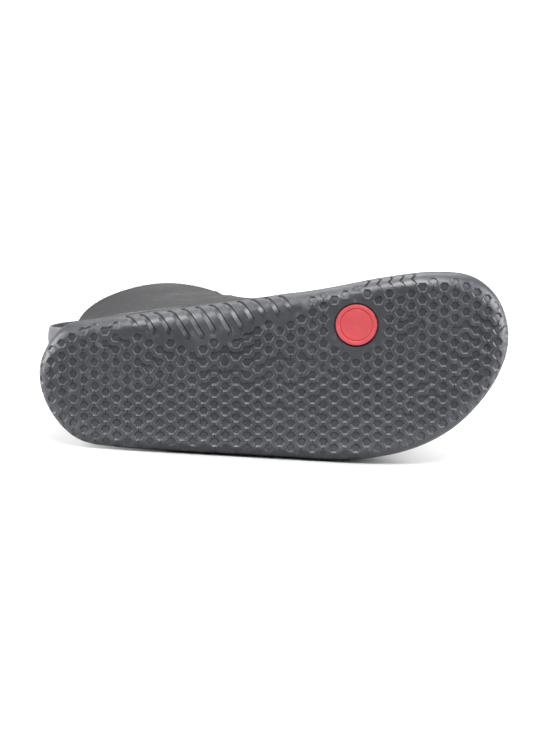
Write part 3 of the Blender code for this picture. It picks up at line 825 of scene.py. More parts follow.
def add_cell(patch, lattice, cell, links):
    """One cell of the tread: a dimple with a bevelled rim, and the land, sipes and channels round it."""
    centre = lattice.centre(cell)
    rings = lattice.rings(centre)
    middle = patch.add(centre, rings[-1][1])
    corners, starts, ends, tips = [], [], [], []
    for side in range(6):
        tips.append(patch.share(lattice.on_corner(centre, side, lattice.radius)))
        corners.append([
            patch.add(lattice.on_corner(centre, side, radius - CORNER_ROUND * CORNER_TRIM), depth)
            for radius, depth in rings
        ])
        for points, sign in ((starts, -1), (ends, 1)):
            points.append([
                patch.add(lattice.on_side(centre, side, radius * COS_30, straight_end(radius, sign)), depth)
                for radius, depth in rings
            ])
    for number in range(6):
        side = CellSide(centre, number, starts[number], ends[number], tips[number], tips[(number + 1) % 6])
        back, corner, first, last = ends[number - 1], corners[number], side.first, side.last
        link = links[cell, number]
        for a in range(len(rings) - 1):
            patch.face(back[a], corner[a], corner[a + 1], back[a + 1])
            patch.face(corner[a], first[a], first[a + 1], corner[a + 1])
            if link == LAND or (link == SIPE and a > 1):
                patch.face(first[a], last[a], last[a + 1], first[a + 1])
        patch.face(back[-1], corner[-1], middle)
        patch.face(corner[-1], first[-1], middle)
        patch.face(first[-1], last[-1], middle)
        patch.face(back[0], side.before, corner[0])
        patch.face(corner[0], side.before, first[0])
        if link == LAND:
            patch.face(first[0], side.before, side.after, last[0])
        elif link == CHANNEL:
            add_channel(patch, lattice, side)
        else:
            add_sipe(patch, lattice, side, rings, link)


def add_channel(patch, lattice, side):
    """A side of a cell where its dimple runs on into the next one."""
    border = partial(lattice.on_side, side.centre, side.number, lattice.radius * COS_30)
    meeting = lattice.rings(border(0.0))
    near, far = (
        [patch.share(border(straight_end(radius, sign)), depth) for radius, depth in meeting]
        for sign in (-1, 1)
    )
    first, last = side.first, side.last
    patch.face(first[0], side.before, near[0])
    patch.face(last[0], far[0], side.after)
    patch.face(first[-1], near[-1], far[-1], last[-1])
    for a in range(len(meeting) - 1):
        patch.face(first[a], near[a], near[a + 1], first[a + 1])
        patch.face(last[a + 1], far[a + 1], far[a], last[a])


def add_sipe(patch, lattice, side, rings, link):
    """A side of a cell where a sipe comes in from the next one, as a slit or widening like a funnel."""
    border = partial(lattice.on_side, side.centre, side.number, lattice.radius * COS_30)
    meeting = lattice.rings(border(0.0))
    sipe_depth = SIPE_DEPTH_SHARE * min(meeting[-1][1], rings[-1][1])
    near, low, far = (
        patch.share(border(across), depth)
        for across, depth in ((-lattice.sipe, 0.0), (0.0, sipe_depth), (lattice.sipe, 0.0))
    )
    first, last = side.first, side.last
    if link == FUNNEL:
        patch.face(first[0], side.before, near)
        patch.face(first[0], near, first[1])
        patch.face(first[1], near, low, first[2])
        patch.face(first[2], low, first[3])
        patch.face(first[3], low, last[3])
        patch.face(last[3], low, last[2])
        patch.face(last[2], low, far, last[1])
        patch.face(last[1], far, last[0])
        patch.face(last[0], far, side.after)
        return
    (brim, _), (lip, lip_depth), (foot, foot_depth) = rings[:3]
    share = (sipe_depth - lip_depth) / (foot_depth - lip_depth)
    lip_across = lattice.sipe * (1 - lip_depth / sipe_depth)
    slot_near, lip_near, slot_low, lip_far, slot_far = (
        patch.add(lattice.on_side(side.centre, side.number, out * COS_30, across), depth)
        for out, across, depth in (
            (brim, -lattice.sipe, 0.0),
            (lip, -lip_across, lip_depth),
            (lip + share * (foot - lip), 0.0, sipe_depth),
            (lip, lip_across, lip_depth),
            (brim, lattice.sipe, 0.0),
        )
    )
    patch.face(first[0], side.before, near, slot_near)
    patch.face(slot_near, near, low, slot_low, lip_near)
    patch.face(slot_low, low, far, slot_far, lip_far)
    patch.face(slot_far, far, side.after, last[0])
    patch.face(first[0], slot_near, lip_near, first[1])
    patch.face(lip_far, slot_far, last[0], last[1])
    patch.face(first[1], lip_near, slot_low, lip_far, last[1], last[2], first[2])


def offset_path(path, distance):
    """A path moved sideways by a distance, with mitred bends."""
    path = np.asarray(path, float)
    runs = np.diff(path, axis=0)
    runs /= np.linalg.norm(runs, axis=1, keepdims=True)
    sides = np.column_stack([-runs[:, 1], runs[:, 0]])
    before = np.concatenate([sides[:1], sides])
    after = np.concatenate([sides, sides[-1:]])
    mitre = before + after
    mitre /= (mitre * after).sum(axis=1, keepdims=True)
    return path + distance * mitre


def inner_edge(along):
    """The place on the sole's inner edge at a distance from the heel."""
    return np.array(outline(-math.acos(1 - 2 * along / SOLE_LENGTH)))


def cell_borders(lattice, cells):
    """Places all along the borders of cells."""
    shares = np.linspace(0, 1, 10)[:, None]
    borders = []
    for cell in sorted(cells):
        centre = lattice.centre(cell)
        corners = np.array([lattice.on_corner(centre, k, lattice.radius) for k in range(7)])
        borders.extend(a + (b - a) * shares for a, b in zip(corners, corners[1:]))
    return np.concatenate(borders)


def beside_run(places, a, b):
    """For places beside a straight run: the share of the run where each is nearest, and how far off."""
    run = b - a
    along = np.clip((places - a) @ run / (run @ run), 0, 1)
    return along, np.linalg.norm(places - a - along[:, None] * run, axis=1)


def stays_clear(path, half_width, borders):
    """Whether a groove along a path leaves all the borders alone."""
    nearest = min(beside_run(borders, a, b)[1].min() for a, b in zip(path, path[1:]))
    return nearest >= half_width + GROOVE_CLEARANCE


def grooves(borders):
    """The grooves over the inner edge, from outside it inwards: slanting ribs at the arch, each with a hook
    where the dimples begin, and short zigzags beside the big toe. They stop before the borders of cells."""
    slant = np.array((RIB_SLANT, 1.0)) / math.hypot(RIB_SLANT, 1.0)
    back = np.array((-slant[0], slant[1]))
    found = []
    for i in range(RIB_COUNT):
        edge = inner_edge(RIB_FIRST + i * RIB_PITCH)
        steps = edge + np.linspace(2 * MM, 40 * MM, 400)[:, None] * slant
        inset, reach = arch_reach(steps)
        last = int((inset > reach - HOOK_LENGTH - RIB_HALF_WIDTH).argmax())
        # Shortened step by step until it is clear
        for knee in steps[last:30:-3]:
            kink = edge + RIB_KINK * (knee - edge)
            path = np.array([edge - GROOVE_OVERSHOOT * slant, kink, knee, knee + HOOK_LENGTH * back])
            if stays_clear(path, RIB_HALF_WIDTH, borders):
                break
        found.append(Groove(path, RIB_HALF_WIDTH, RIB_SHARES, RIB_LEAN))
    for along in ZIGZAG_PLACES:
        edge = inner_edge(along * MM)
        first = edge - ZIGZAG_STEP * slant
        second = first + ZIGZAG_BACK * ZIGZAG_STEP * back
        for share in np.arange(1.0, 0.05, -0.1):
            third = second + share * ZIGZAG_STEP * slant
            path = np.array([edge - GROOVE_OVERSHOOT * slant, first, second, third])
            if stays_clear(path, ZIGZAG_HALF_WIDTH, borders):
                break
        found.append(Groove(path, ZIGZAG_HALF_WIDTH, np.ones(len(path)), 0.0))
    return found


def groove_depth_at(found, depth):
    """A function that gives the depth of the grooves at places."""
    def depth_at(places):
        deepest = np.zeros(len(places))
        for groove in found:
            ends = zip(groove.path, groove.path[1:], groove.shares, groove.shares[1:])
            for a, b, share_a, share_b in ends:
                along, away = beside_run(places, a, b)
                share = share_a + (share_b - share_a) * along
                run = b - a
                beside = (places - a) @ np.array((-run[1], run[0])) / np.linalg.norm(run)
                share = share * (1 - groove.lean * np.clip(beside / groove.half_width, -1, 1))
                wall = np.clip((groove.half_width - away) / GROOVE_WALL, 0, 1)
                deepest = np.maximum(deepest, share * wall)
        return depth * deepest

    return depth_at


def groove_offsets(groove):
    """Where a groove's four lines lie beside its middle: a brim and a foot on each side."""
    foot = groove.half_width - GROOVE_WALL
    return groove.half_width, foot, -foot, -groove.half_width


def tread_ring(found):
    """Turns round the tread's top line, evenly spaced but with one for each line of each groove that starts
    there, and the turns of those lines groove by groove."""
    even = np.linspace(-math.pi, math.pi, TREAD_RING_COUNT, endpoint=False)
    turns = np.linspace(-2.6, -0.5, 6000)
    line = np.column_stack(outline(turns, TREAD_TOP_INSET))
    starts = []
    for groove in found:
        run = (groove.path[1] - groove.path[0]) / np.linalg.norm(groove.path[1] - groove.path[0])
        beside = (line - groove.path[0]) @ np.array((-run[1], run[0]))
        order = np.argsort(beside)
        offsets = groove_offsets(groove)
        starts.append([float(np.interp(offset, beside[order], turns[order])) for offset in offsets])
    marks = np.array(starts).ravel()
    clear = np.abs(even[:, None] - marks[None]).min(axis=1) > TREAD_RING_STEP
    return np.sort(np.concatenate([even[clear], marks])), starts


def fine_line(corners, step):
    """Points along straight runs between corners, without the first, at most a step apart."""
    points = []
    for a, b in zip(corners, corners[1:]):
        count = max(1, math.ceil(np.linalg.norm(b - a) / step))
        points.extend(a + (b - a) * (k + 1) / count for k in range(count))
    return points


def angles_round(count):
    return np.linspace(0, 2 * math.pi, count, endpoint=False)


def circle(centre, radius, count):
    angles = angles_round(count)
    return np.array(centre) + radius * np.column_stack([np.cos(angles), np.sin(angles)])


def closed(line):
    return [*line, line[0]]


def quads(low, high):
    """Faces between two closed rows of points."""
    return [(low[k - 1], low[k], high[k], high[k - 1]) for k in range(len(low))]


def border_lines(patch, lattice, cells):
    """The sides of cells that have no neighbour, as lines of two points."""
    lines = []
    for cell in sorted(cells):
        centre = lattice.centre(cell)
        for side in range(6):
            if lattice.neighbour(cell, side) not in cells:
                tips = (lattice.on_corner(centre, k, lattice.radius) for k in (side, side + 1))
                lines.append([patch.share(tip) for tip in tips])
    return lines


def groove_lines(patch, groove, starts, depth):
    """A groove's brim and foot as two lines of points, from the tread's top line round its end and back."""
    run = groove.path[-1] - groove.path[-2]
    run = run / np.linalg.norm(run)
    sides = []
    for offset, first in zip(groove_offsets(groove), starts):
        brim = abs(offset) == groove.half_width
        corners = offset_path(groove.path, offset)
        corners[-1] += run * (GROOVE_WALL if brim else 0.0)
        corners[0] = patch.flat[first]
        lean = 1 - groove.lean * offset / groove.half_width
        depths = (0.0 if brim else depth * lean) * np.array(groove.shares)
        line = fine_line(np.column_stack([corners, depths]), GROOVE_STEP)
        sides.append([first] + [patch.add(place[:2], place[2]) for place in line])
    return [sides[0] + sides[3][::-1], sides[1] + sides[2][::-1]]


def add_pocket(patch):
    """The inlay's pocket. Gives back its brim."""
    rows = [(row.grow * MM, row.depth * MM) for row in POCKET_EDGE]
    rows.append((0.0, INLAY_THICKNESS + FIT_GAP))
    pocket = [
        [patch.add(place, depth) for place in circle(INLAY_CENTRE, INLAY_MOUTH + grow, POCKET_SIDES)]
        for grow, depth in rows
    ]
    for low, high in zip(pocket, pocket[1:]):
        patch.faces.extend(quads(low, high))
    patch.faces.append(tuple(pocket[-1]))
    return pocket[0]


def add_loose(patch, lattice, cells, turns, depth_at):
    """Points strewn over the land outside the cells, clear of every line, to give it even triangles."""
    corners = [lattice.on_corner(centre, k, lattice.radius) for centre in lattice.centres for k in (0, 1)]
    bands = [np.column_stack(outline(turns[::3], inset * MM)) for inset in LOOSE_INSETS]
    spare = np.concatenate([np.array(list(lattice.centres) + corners), *bands])
    inset, _ = beside_edge(spare)
    filled = np.array([lattice.centre(cell) for cell in cells])
    to_cell = np.array([np.linalg.norm(filled - place, axis=1).min() for place in spare])
    to_inlay = np.linalg.norm(spare - INLAY_CENTRE, axis=1)
    clear = (inset > TREAD_TOP_INSET + LOOSE_TO_RING) & (to_cell > LOOSE_TO_CELL * lattice.radius)
    clear &= to_inlay > INLAY_MOUTH + POCKET_MARGIN
    for grow in (-LOOSE_TO_GROOVE, 0.0, LOOSE_TO_GROOVE):
        clear &= depth_at(spare + np.array((grow, 0.0))) == 0
    return [patch.share(place) for place in spare[clear]]


def add_walls(points, faces, ring, ring_depths, turns):
    """The cup from the tread's top line over its lip to its floor. Gives back the floor's edge."""
    def add_row(inset, height):
        x, y = outline(turns, inset)
        points.extend(np.column_stack([x, y, height + rise(x, y)]))
        return list(range(len(points) - len(turns), len(points)))

    rows = [ring]
    for share in (0.5, 0.0):
        walked = share * TREAD_TOP_ARC
        inset = np.interp(walked, ROLL_WALKED, ROLL_INSET)
        rows.append(add_row(inset + ring_depths * share, np.interp(walked, ROLL_WALKED, ROLL_HEIGHT)))
    lip = lip_height(turns)
    widest = CUP_SIDE[-1].height * MM
    for line in LIP:
        rows.append(add_row(line.inset * MM, widest + line.share * (lip - line.drop * MM - widest)))
    rows.append(add_row(RIM_WALL, TREAD_TO_FLOOR))
    for low, high in zip(rows, rows[1:]):
        faces.extend(quads(low, high))
    return rows[-1]


def outsole_mesh(settings):
    """The rubber cup with its tread: points and faces."""
    lattice = Lattice(settings)
    cells = tread_cells(lattice)
    links = link_cells(lattice, cells, settings.link_seed)
    patch = Patch()
    for cell in sorted(cells):
        add_cell(patch, lattice, cell, links)
    lines = border_lines(patch, lattice, cells)

    found = grooves(cell_borders(lattice, cells))
    depth_at = groove_depth_at(found, settings.rib_depth)
    turns, starts = tread_ring(found)
    ring_places = np.column_stack(outline(turns, TREAD_TOP_INSET))
    ring_depths = depth_at(ring_places)
    ring = [patch.add(place, depth) for place, depth in zip(ring_places, ring_depths)]
    lines.append(closed(ring))
    for groove, groove_starts in zip(found, starts):
        firsts = [ring[k] for k in np.searchsorted(turns, groove_starts)]
        lines.extend(groove_lines(patch, groove, firsts, settings.rib_depth))
    lines.append(closed(add_pocket(patch)))
    loose = add_loose(patch, lattice, cells, turns, depth_at)

    def keep(middles):
        to_inlay = np.linalg.norm(middles - INLAY_CENTRE, axis=1)
        clear = to_inlay > INLAY_MOUTH + POCKET_EDGE[0].grow * MM - 0.01 * MM
        return clear & ~lattice.holds(cells, middles)

    patch.fill(lines, loose, keep, depth_at)
    points = list(on_tread(patch.flat, patch.depth))
    floor = add_walls(points, patch.faces, ring, ring_depths, turns)
    add_deck(points, patch.faces, floor, TREAD_TO_FLOOR, lattice.centres)
    return above_floor(np.array(points), 0.0), patch.faces


def new_mesh(name, points, faces):
    mesh = bpy.data.meshes.new(name)
    mesh.from_pydata([tuple(map(float, point)) for point in points], [], [tuple(face) for face in faces])
    return mesh


def joined(shapes):
    """Points and faces of several shapes as one."""
    points, faces = [], []
    for own_points, own_faces in shapes:
        first = len(points)
        points.extend(own_points)
        faces.extend(tuple(first + k for k in face) for face in own_faces)
    return points, faces


def add_deck(points, faces, ring, height, inner_places):
    """Fills a closed row round the foot with a surface at a height above the sole's rise."""
    line = np.array([points[number][:2] for number in ring])
    inset, _ = beside_edge(inner_places)
    ring_inset, _ = beside_edge(line[:1])
    inner = inner_places[inset > ring_inset[0] + 3 * MM]
    first = len(points)
    points.extend(np.column_stack([inner, height + rise(inner[:, 0], inner[:, 1])]))
    numbers = [*ring, *range(first, len(points))]
    spots = [Vector(points[number][:2]) / MM for number in numbers]
    edges = [(k - 1 if k else len(ring) - 1, k) for k in range(len(ring))]
    _, _, triangles, origins, _, _ = delaunay_2d_cdt(spots, edges, [], 1, 1e-5)
    faces.extend(tuple(numbers[origins[k][0]] for k in triangle) for triangle in triangles)


def foot_ring(inset, height, count):
    """A closed row of points at an inset from the outline and a height above the sole's rise."""
    x, y = outline(np.linspace(-math.pi, math.pi, count, endpoint=False), inset)
    return np.column_stack([x, y, height + rise(x, y)])


def grid_places(spacing):
    """Places all over the sole's box, in staggered rows."""
    along = np.arange(0, SOLE_LENGTH, spacing)
    across = np.arange(-60 * MM, 80 * MM, spacing)
    return np.array([(x + (k % 2) * spacing / 2, y) for k, y in enumerate(across) for x in along])


def insole_mesh():
    """A loose footbed with rounded edges on the sole's floor."""
    sides = 240
    edge = LAST[0].inset * MM + UPPER_WALL + FIT_GAP
    floor = TREAD_TO_FLOOR + FIT_GAP
    top = floor + INSOLE_THICKNESS
    rows = (
        (edge + 0.5 * MM, floor),
        (edge, floor + 0.5 * MM),
        (edge, top - 0.9 * MM),
        (edge + 0.25 * MM, top - 0.3 * MM),
        (edge + 0.8 * MM, top),
    )
    points, faces, rings = [], [], []
    for inset, height in rows:
        rings.append(range(len(points), len(points) + sides))
        points.extend(foot_ring(inset, height, sides))
    for low, high in zip(rings, rings[1:]):
        faces.extend(quads(low, high))
    for ring, height in ((rings[0], floor), (rings[-1], top)):
        add_deck(points, faces, ring, height, grid_places(6 * MM))
    return points, faces


def turned(profile, count):
    """Points and faces of a profile of (radius, height) turned round Z. Radius 0 is a point on the axis."""
    points, faces, rows = [], [], []
    for radius, height in profile:
        ring = circle((0.0, 0.0), radius, count if radius else 1)
        rows.append(list(range(len(points), len(points) + len(ring))))
        points.extend(np.column_stack([ring, np.full(len(ring), height)]))
    for low, high in zip(rows, rows[1:]):
        if len(low) == len(high):
            faces.extend(quads(low, high))
        else:
            tip, ring = (low[0], high) if len(low) == 1 else (high[0], low)
            faces.extend((tip, ring[k - 1], ring[k]) for k in range(count))
    return np.array(points), faces


def inlay_mesh():
    """A plain round plug with a soft edge and one shallow ring in its face."""
    edge, top = INLAY_RADIUS - 2 * FIT_GAP, INLAY_THICKNESS
    profile = (
        (0.0, 0.10 * MM),
        (0.66 * edge, 0.10 * MM),
        (edge - 3.3 * MM, 0.04 * MM),
        (edge - 3.0 * MM, 0.42 * MM),
        (edge - 2.5 * MM, 0.42 * MM),
        (edge - 2.2 * MM, 0.03 * MM),
        (edge - 0.7 * MM, 0.0),
        (edge - 0.25 * MM, 0.14 * MM),
        (edge, 0.5 * MM),
        (edge, top - 0.2 * MM),
        (edge - 0.2 * MM, top),
        (0.0, top),
    )
    points, faces = turned(profile, 96)
    return points + np.array((*INLAY_CENTRE, 0.0)), faces


def seam_level(turn):
    return table_curve(SEAM, np.minimum(np.abs(turn), math.pi))


def side_turns():
    """The turns of the facing's and the eyestay's edges by level, for each side."""
    levels = np.concatenate([np.linspace(0, 6.2, 32), np.linspace(6.3, 6.6, 16), np.linspace(6.7, 13.9, 40)])
    edges = {}
    for side in (1, -1):
        facing = np.array([facing_turn(level, side) for level in levels])
        reach = table_curve(EYESTAY, levels) * MM
        stay = np.array([walked_turn(*row) for row in zip(levels, facing, [side] * len(levels), reach)])
        edges[side] = levels, facing, stay
    return edges


SIDE_TURNS = side_turns()


def upper_place(column, climb):
    """(level, turn) of a place on the upper. column runs from -1 at the inner facing by 0 at the heel to 1 at
    the outer facing, and climb from 0 at the bottom by 1 at the quarters' lower edge to 2 at the collar."""
    column, climb = np.broadcast_arrays(np.asarray(column, float), np.asarray(climb, float))
    seam = seam_level(column * math.pi)
    level = np.where(climb < 1, climb * seam, seam + (climb - 1) * (COLLAR_LEVEL - seam))
    turn = np.zeros(level.shape)
    for side, (levels, facing, stay) in SIDE_TURNS.items():
        own = column * side > 0
        share = np.abs(column[own])
        facing_at = np.interp(level[own], levels, facing)
        stay_at = np.interp(level[own], levels, stay)
        behind = stay_at * share / EYESTAY_SHARE
        ahead = stay_at + (facing_at - stay_at) * (share - EYESTAY_SHARE) / (1 - EYESTAY_SHARE)
        turn[own] = np.where(share < EYESTAY_SHARE, behind, ahead)
    return level, turn


def trough(away, swell, swell_place):
    """The height across a crease: a trough at 0 with a low swell on each side of it."""
    return swell * np.exp(-((np.abs(away) - swell_place) / CREASE_SWELL_WIDTH) ** 2) - np.exp(-away ** 2)


def soft_relief(level, turn):
    """The height of the creases, folds and padding of the leather, in metres: troughs are below 0."""
    place = skin(level, turn) / MM
    x, y, z = (place[..., k] for k in range(3))
    height = np.zeros(x.shape)
    on_top = smoothstep((z - CREASE_BOTTOM) / 14) * smoothstep((CREASE_TOP_LEVEL - level) / 0.8)
    for row in VAMP_CREASES:
        wave = row.along + CREASE_SLANT * y + CREASE_WAVE * np.sin(y / 9 + row.along)
        height += on_top * row.depth * trough((x - wave) / row.half_width, 0.55, 1.7)
    round_foot = np.abs(wrapped(turn))
    at_ankle = 0.75 * np.exp(-((round_foot - ANKLE_TURN) / ANKLE_REACH) ** 2)
    at_heel = 0.35 * np.exp(-(round_foot / HEEL_REACH) ** 2)
    at_side = (0.25 + at_ankle + at_heel) * smoothstep((FOLD_END_TURN - round_foot) / 0.35)
    for row in ANKLE_FOLDS:
        wave = row.level + row.climb * np.cos(turn) + FOLD_WAVE * np.sin(5 * turn + row.level)
        height += at_side * row.depth * trough((level - wave) / row.half_width, 0.5, 1.6)
    slack = smoothstep((level - SLACK_LEVEL) / 2) * smoothstep((SLACK_END_TURN - round_foot) / 0.4)
    height += slack * SLACK_SWELL * np.sin(2.1 * level + 3 * turn) * np.sin(4 * turn + 0.7)
    roll = np.clip((COLLAR_LEVEL - level) / COLLAR_ROLL_LEVELS, 0, 1)
    height += COLLAR_ROLL * np.sin(math.pi * roll) ** 2 * smoothstep((COLLAR_END_TURN - round_foot) / 0.3)
    return height * MM * smoothstep((level - LASTED_LEVEL) / 0.9)


def upper_height(column, climb):
    """How far the leather's outside stands off the last: overlays and soft relief."""
    level, turn = upper_place(column, climb)
    column, climb = np.broadcast_arrays(np.asarray(column, float), np.asarray(climb, float))
    above = climb > 1
    height = np.where(above, PANEL_STEP, 0.0)
    height = np.where(above & (np.abs(column) > EYESTAY_SHARE), 2 * PANEL_STEP, height)
    height = np.where(~above & (np.abs(column) * math.pi < COUNTER_END), 2 * PANEL_STEP, height)
    return height * smoothstep((level - 1.05) / 0.3) + soft_relief(level, turn)


def above_floor(points, clearance):
    """Points of the upright boot, pressed flat where they would sink into the floor under the lying one."""
    lying = np.array(LYING)
    low = clearance - (points @ lying[2, :3] + lying[2, 3])
    return points + np.clip(low, 0, None)[..., None] * lying[2, :3]


def on_upper(column, climb, proud=0.0):
    """Points on the outside of the dressed upper."""
    level, turn = upper_place(column, climb)
    return above_floor(off_skin(level, turn, upper_height(column, climb) + proud), LEATHER_TO_FLOOR)


def grid_faces(rows, columns):
    """Faces of a grid of points, row after row."""
    return [
        (r * columns + c, r * columns + c + 1, (r + 1) * columns + c + 1, (r + 1) * columns + c)
        for r in range(rows - 1)
        for c in range(columns - 1)
    ]


def upper_columns():
    """The upper's columns from the outer facing to the inner, with a close pair at each eyestay's edge."""
    pair = 0.0016
    behind = np.linspace(0, EYESTAY_SHARE - pair, 132)
    ahead = np.linspace(EYESTAY_SHARE + pair, 1.0, 20)
    side = np.concatenate([behind, ahead])
    return np.concatenate([side[:0:-1], -side])


def upper_climbs():
    """The upper's rows from its bottom edge to the collar, with a close pair at the quarters' lower edge."""
    pair = 0.004
    return np.concatenate([np.linspace(0, 1 - pair, 46), np.linspace(1 + pair, 2, 66)])


def upper_mesh():
    """The outside of the upper as an open mesh with round holes at the eyelets."""
    columns, climbs = upper_columns(), upper_climbs()
    points = on_upper(columns[None, :], climbs[:, None])
    bm = bmesh.new()
    verts = [bm.verts.new(point) for point in points.reshape(-1, 3)]
    for face in grid_faces(len(climbs), len(columns)):
        bm.faces.new([verts[k] for k in face])
    bmesh.ops.remove_doubles(bm, verts=bm.verts, dist=2e-6)
    bmesh.ops.dissolve_degenerate(bm, edges=bm.edges, dist=1e-6)
    hole = EYELET_BARREL_RADIUS + FIT_GAP
    for _, level, turn in eyelet_places():
        seat = seat_matrix(level, turn, 2 * PANEL_STEP)
        back = seat.inverted()
        inside = [face for face in bm.faces if (back @ face.calc_center_median()).length < hole]
        rim = {vert for face in inside for vert in face.verts}
        bmesh.ops.delete(bm, geom=inside, context="FACES")
        for vert in rim:
            if vert.is_valid:
                local = back @ vert.co
                local.xy = local.xy.normalized() * hole
                vert.co = seat @ local
    mesh = bpy.data.meshes.new("leather_upper")
    bm.to_mesh(mesh)
    bm.free()
    return mesh


def tongue_mesh():
    """The tongue's outside, following the upper's creases behind the facings."""
    levels = np.linspace(TONGUE[0].level, TONGUE[-1].level, TONGUE_ROWS)
    widths = table_curve(TONGUE, levels) * MM
    shares = np.linspace(0, 1, TONGUE_COLUMNS)
    edges = np.abs(2 * shares - 1)
    points = []
    for level, width in zip(levels, widths):
        row = np.full(TONGUE_COLUMNS, level)
        outer = edge_turn(level, width, 1)
        inner = edge_turn(level, width, -1) + 2 * math.pi
        turns = inner + shares * (outer - inner)
        depth = UPPER_WALL + TONGUE_GAP - np.minimum(soft_relief(row, turns), 0)
        pillow = TONGUE_PILLOW * smoothstep((level - 12.9) / 0.5) * (1 - edges ** 2)
        depth = depth - pillow + TONGUE_PILLOW * smoothstep((edges - 0.9) / 0.1)
        points.extend(off_skin(row, turns, -depth))
    return new_mesh("leather_tongue", points, grid_faces(TONGUE_ROWS, TONGUE_COLUMNS))


def eyelet_mesh():
    """All the eyelets: rolled flanges with barrels through the leather."""
    top, bore, edge = EYELET_FLANGE, EYELET_BORE_RADIUS, EYELET_FLANGE_RADIUS
    low = -EYELET_SEAT - EYELET_BARREL
    profile = (
        (bore, low),
        (bore, top - 0.45 * MM),
        (bore + 0.13 * MM, top - 0.15 * MM),
        (bore + 0.45 * MM, top),
        (edge - 1.0 * MM, top - 0.04 * MM),
        (edge - 0.4 * MM, top - 0.2 * MM),
        (edge - 0.08 * MM, top - 0.45 * MM),
        (edge, 0.1 * MM),
        (edge - 0.15 * MM, 0.0),
        (EYELET_BARREL_RADIUS, 0.0),
        (EYELET_BARREL_RADIUS, low),
        (bore, low),
    )
    shape, shape_faces = turned(profile, 32)
    eyelets = []
    for _, level, turn in eyelet_places():
        seat = np.array(seat_matrix(level, turn, EYELET_SEAT + PANEL_STEP))
        eyelets.append((shape @ seat[:3, :3].T + seat[:3, 3], shape_faces))
    return joined(eyelets)


def swept(path, radii, sides):
    """Points and faces of a tube with closed ends. radii gives each ring's radius at each side."""
    path = np.asarray(path, float)
    runs = np.gradient(path, axis=0)
    runs /= np.linalg.norm(runs, axis=1, keepdims=True)
    normal = np.cross(runs[0], (0.3, 0.9, 0.2))
    points = []
    angles = angles_round(sides)
    cos, sin = np.cos(angles)[:, None], np.sin(angles)[:, None]
    for place, run, radius in zip(path, runs, radii):
        normal = normal - (normal @ run) * run
        normal /= np.linalg.norm(normal)
        other = np.cross(run, normal)
        points.extend(place + radius[:, None] * (cos * normal + sin * other))
    rows = [range(k * sides, (k + 1) * sides) for k in range(len(path))]
    faces = [face for low, high in zip(rows, rows[1:]) for face in quads(low, high)]
    return points, faces + [tuple(rows[0]), tuple(rows[-1])]


def lace_path(level, start, end, bar_height):
    """One bar of lace: up out of one eyelet, across the throat and down into the other."""
    turns = np.linspace(start, end, 400)
    levels = np.full(turns.shape, level)
    walked = way_along(off_skin(levels, turns, np.full(turns.shape, bar_height)))
    to_end = np.minimum(walked, walked[-1] - walked)
    lift = np.sqrt(np.clip(1 - np.clip(1 - to_end / LACE_BEND, 0, 1) ** 2, 0, 1))
    taut = bar_height - LACE_DIP * np.sin(math.pi * walked / walked[-1])
    dense = off_skin(levels, turns, LACE_END + (taut - LACE_END) * lift)
    way = way_along(dense)
    even = np.linspace(0, way[-1], int(way[-1] / LACE_STEP))
    return np.column_stack([np.interp(even, way, dense[:, k]) for k in range(3)]), even


def lace_mesh():
    """The lace's bars as round braid: two families of strands that cross."""
    places = {name: (level, turn) for name, level, turn in eyelet_places()}
    bar_height = EYELET_SEAT + EYELET_FLANGE + FIT_GAP + LACE_RADIUS + PANEL_STEP
    angles = angles_round(LACE_SIDES)
    bars = []
    for i in range(1, len(EYELET_LEVELS) + 1):
        level, outer = places[f"outer_{i}"]
        inner = places[f"inner_{i}"][1] + 2 * math.pi
        path, walked = lace_path(level, outer, inner, bar_height)
        to_end = np.minimum(walked, walked[-1] - walked)
        pinch = 1 - smoothstep((to_end - LACE_PINCH_START) / LACE_PINCH_REACH)
        size = LACE_RADIUS * (1 - LACE_PINCH * pinch)
        twist = 2 * math.pi * walked[:, None] / LACE_PITCH
        one = np.cos(LACE_STRANDS * angles[None] + twist)
        two = np.cos(LACE_STRANDS * angles[None] - twist)
        bars.append(swept(path, size[:, None] * (LACE_CORE + LACE_RELIEF * np.maximum(one, two)), LACE_SIDES))
    return joined(bars)


def loop_mesh():
    """The pull loop's outer face, ribbed like webbing, with its length and width as UV in metres."""
    knots = np.arange(len(LOOP))
    spots = np.linspace(0, knots[-1], LOOP_ROWS)
    levels = through(knots, [row.level for row in LOOP], spots)
    heights = through(knots, [row.height for row in LOOP], spots) * MM
    across = np.linspace(LOOP_WIDTH / 2, -LOOP_WIDTH / 2, LOOP_COLUMNS)
    span = np.linspace(-0.2 * math.pi, 0.2 * math.pi, 200)
    edge = LOOP_EDGE * smoothstep((np.abs(across) - 0.43 * LOOP_WIDTH) / (0.07 * LOOP_WIDTH))
    ribs = LOOP_RIB * np.cos(2 * math.pi * across / LOOP_RIB_PITCH)
    rows = []
    for level, height in zip(levels, heights):
        turns = np.interp(across, off_skin(level, span, np.full(span.shape, height))[:, 1], span)
        rows.append(off_skin(np.full(LOOP_COLUMNS, level), turns, height - edge + ribs))
    rows = np.array(rows)
    walked = way_along(rows[:, LOOP_COLUMNS // 2])
    mesh = new_mesh("webbing_loop", rows.reshape(-1, 3), grid_faces(LOOP_ROWS, LOOP_COLUMNS))
    places = np.stack(np.broadcast_arrays(walked[:, None], across[None]), axis=-1).reshape(-1, 2)
    layer = mesh.uv_layers.new(name="webbing")
    for loop in mesh.loops:
        layer.data[loop.index].uv = places[loop.vertex_index]
    return mesh


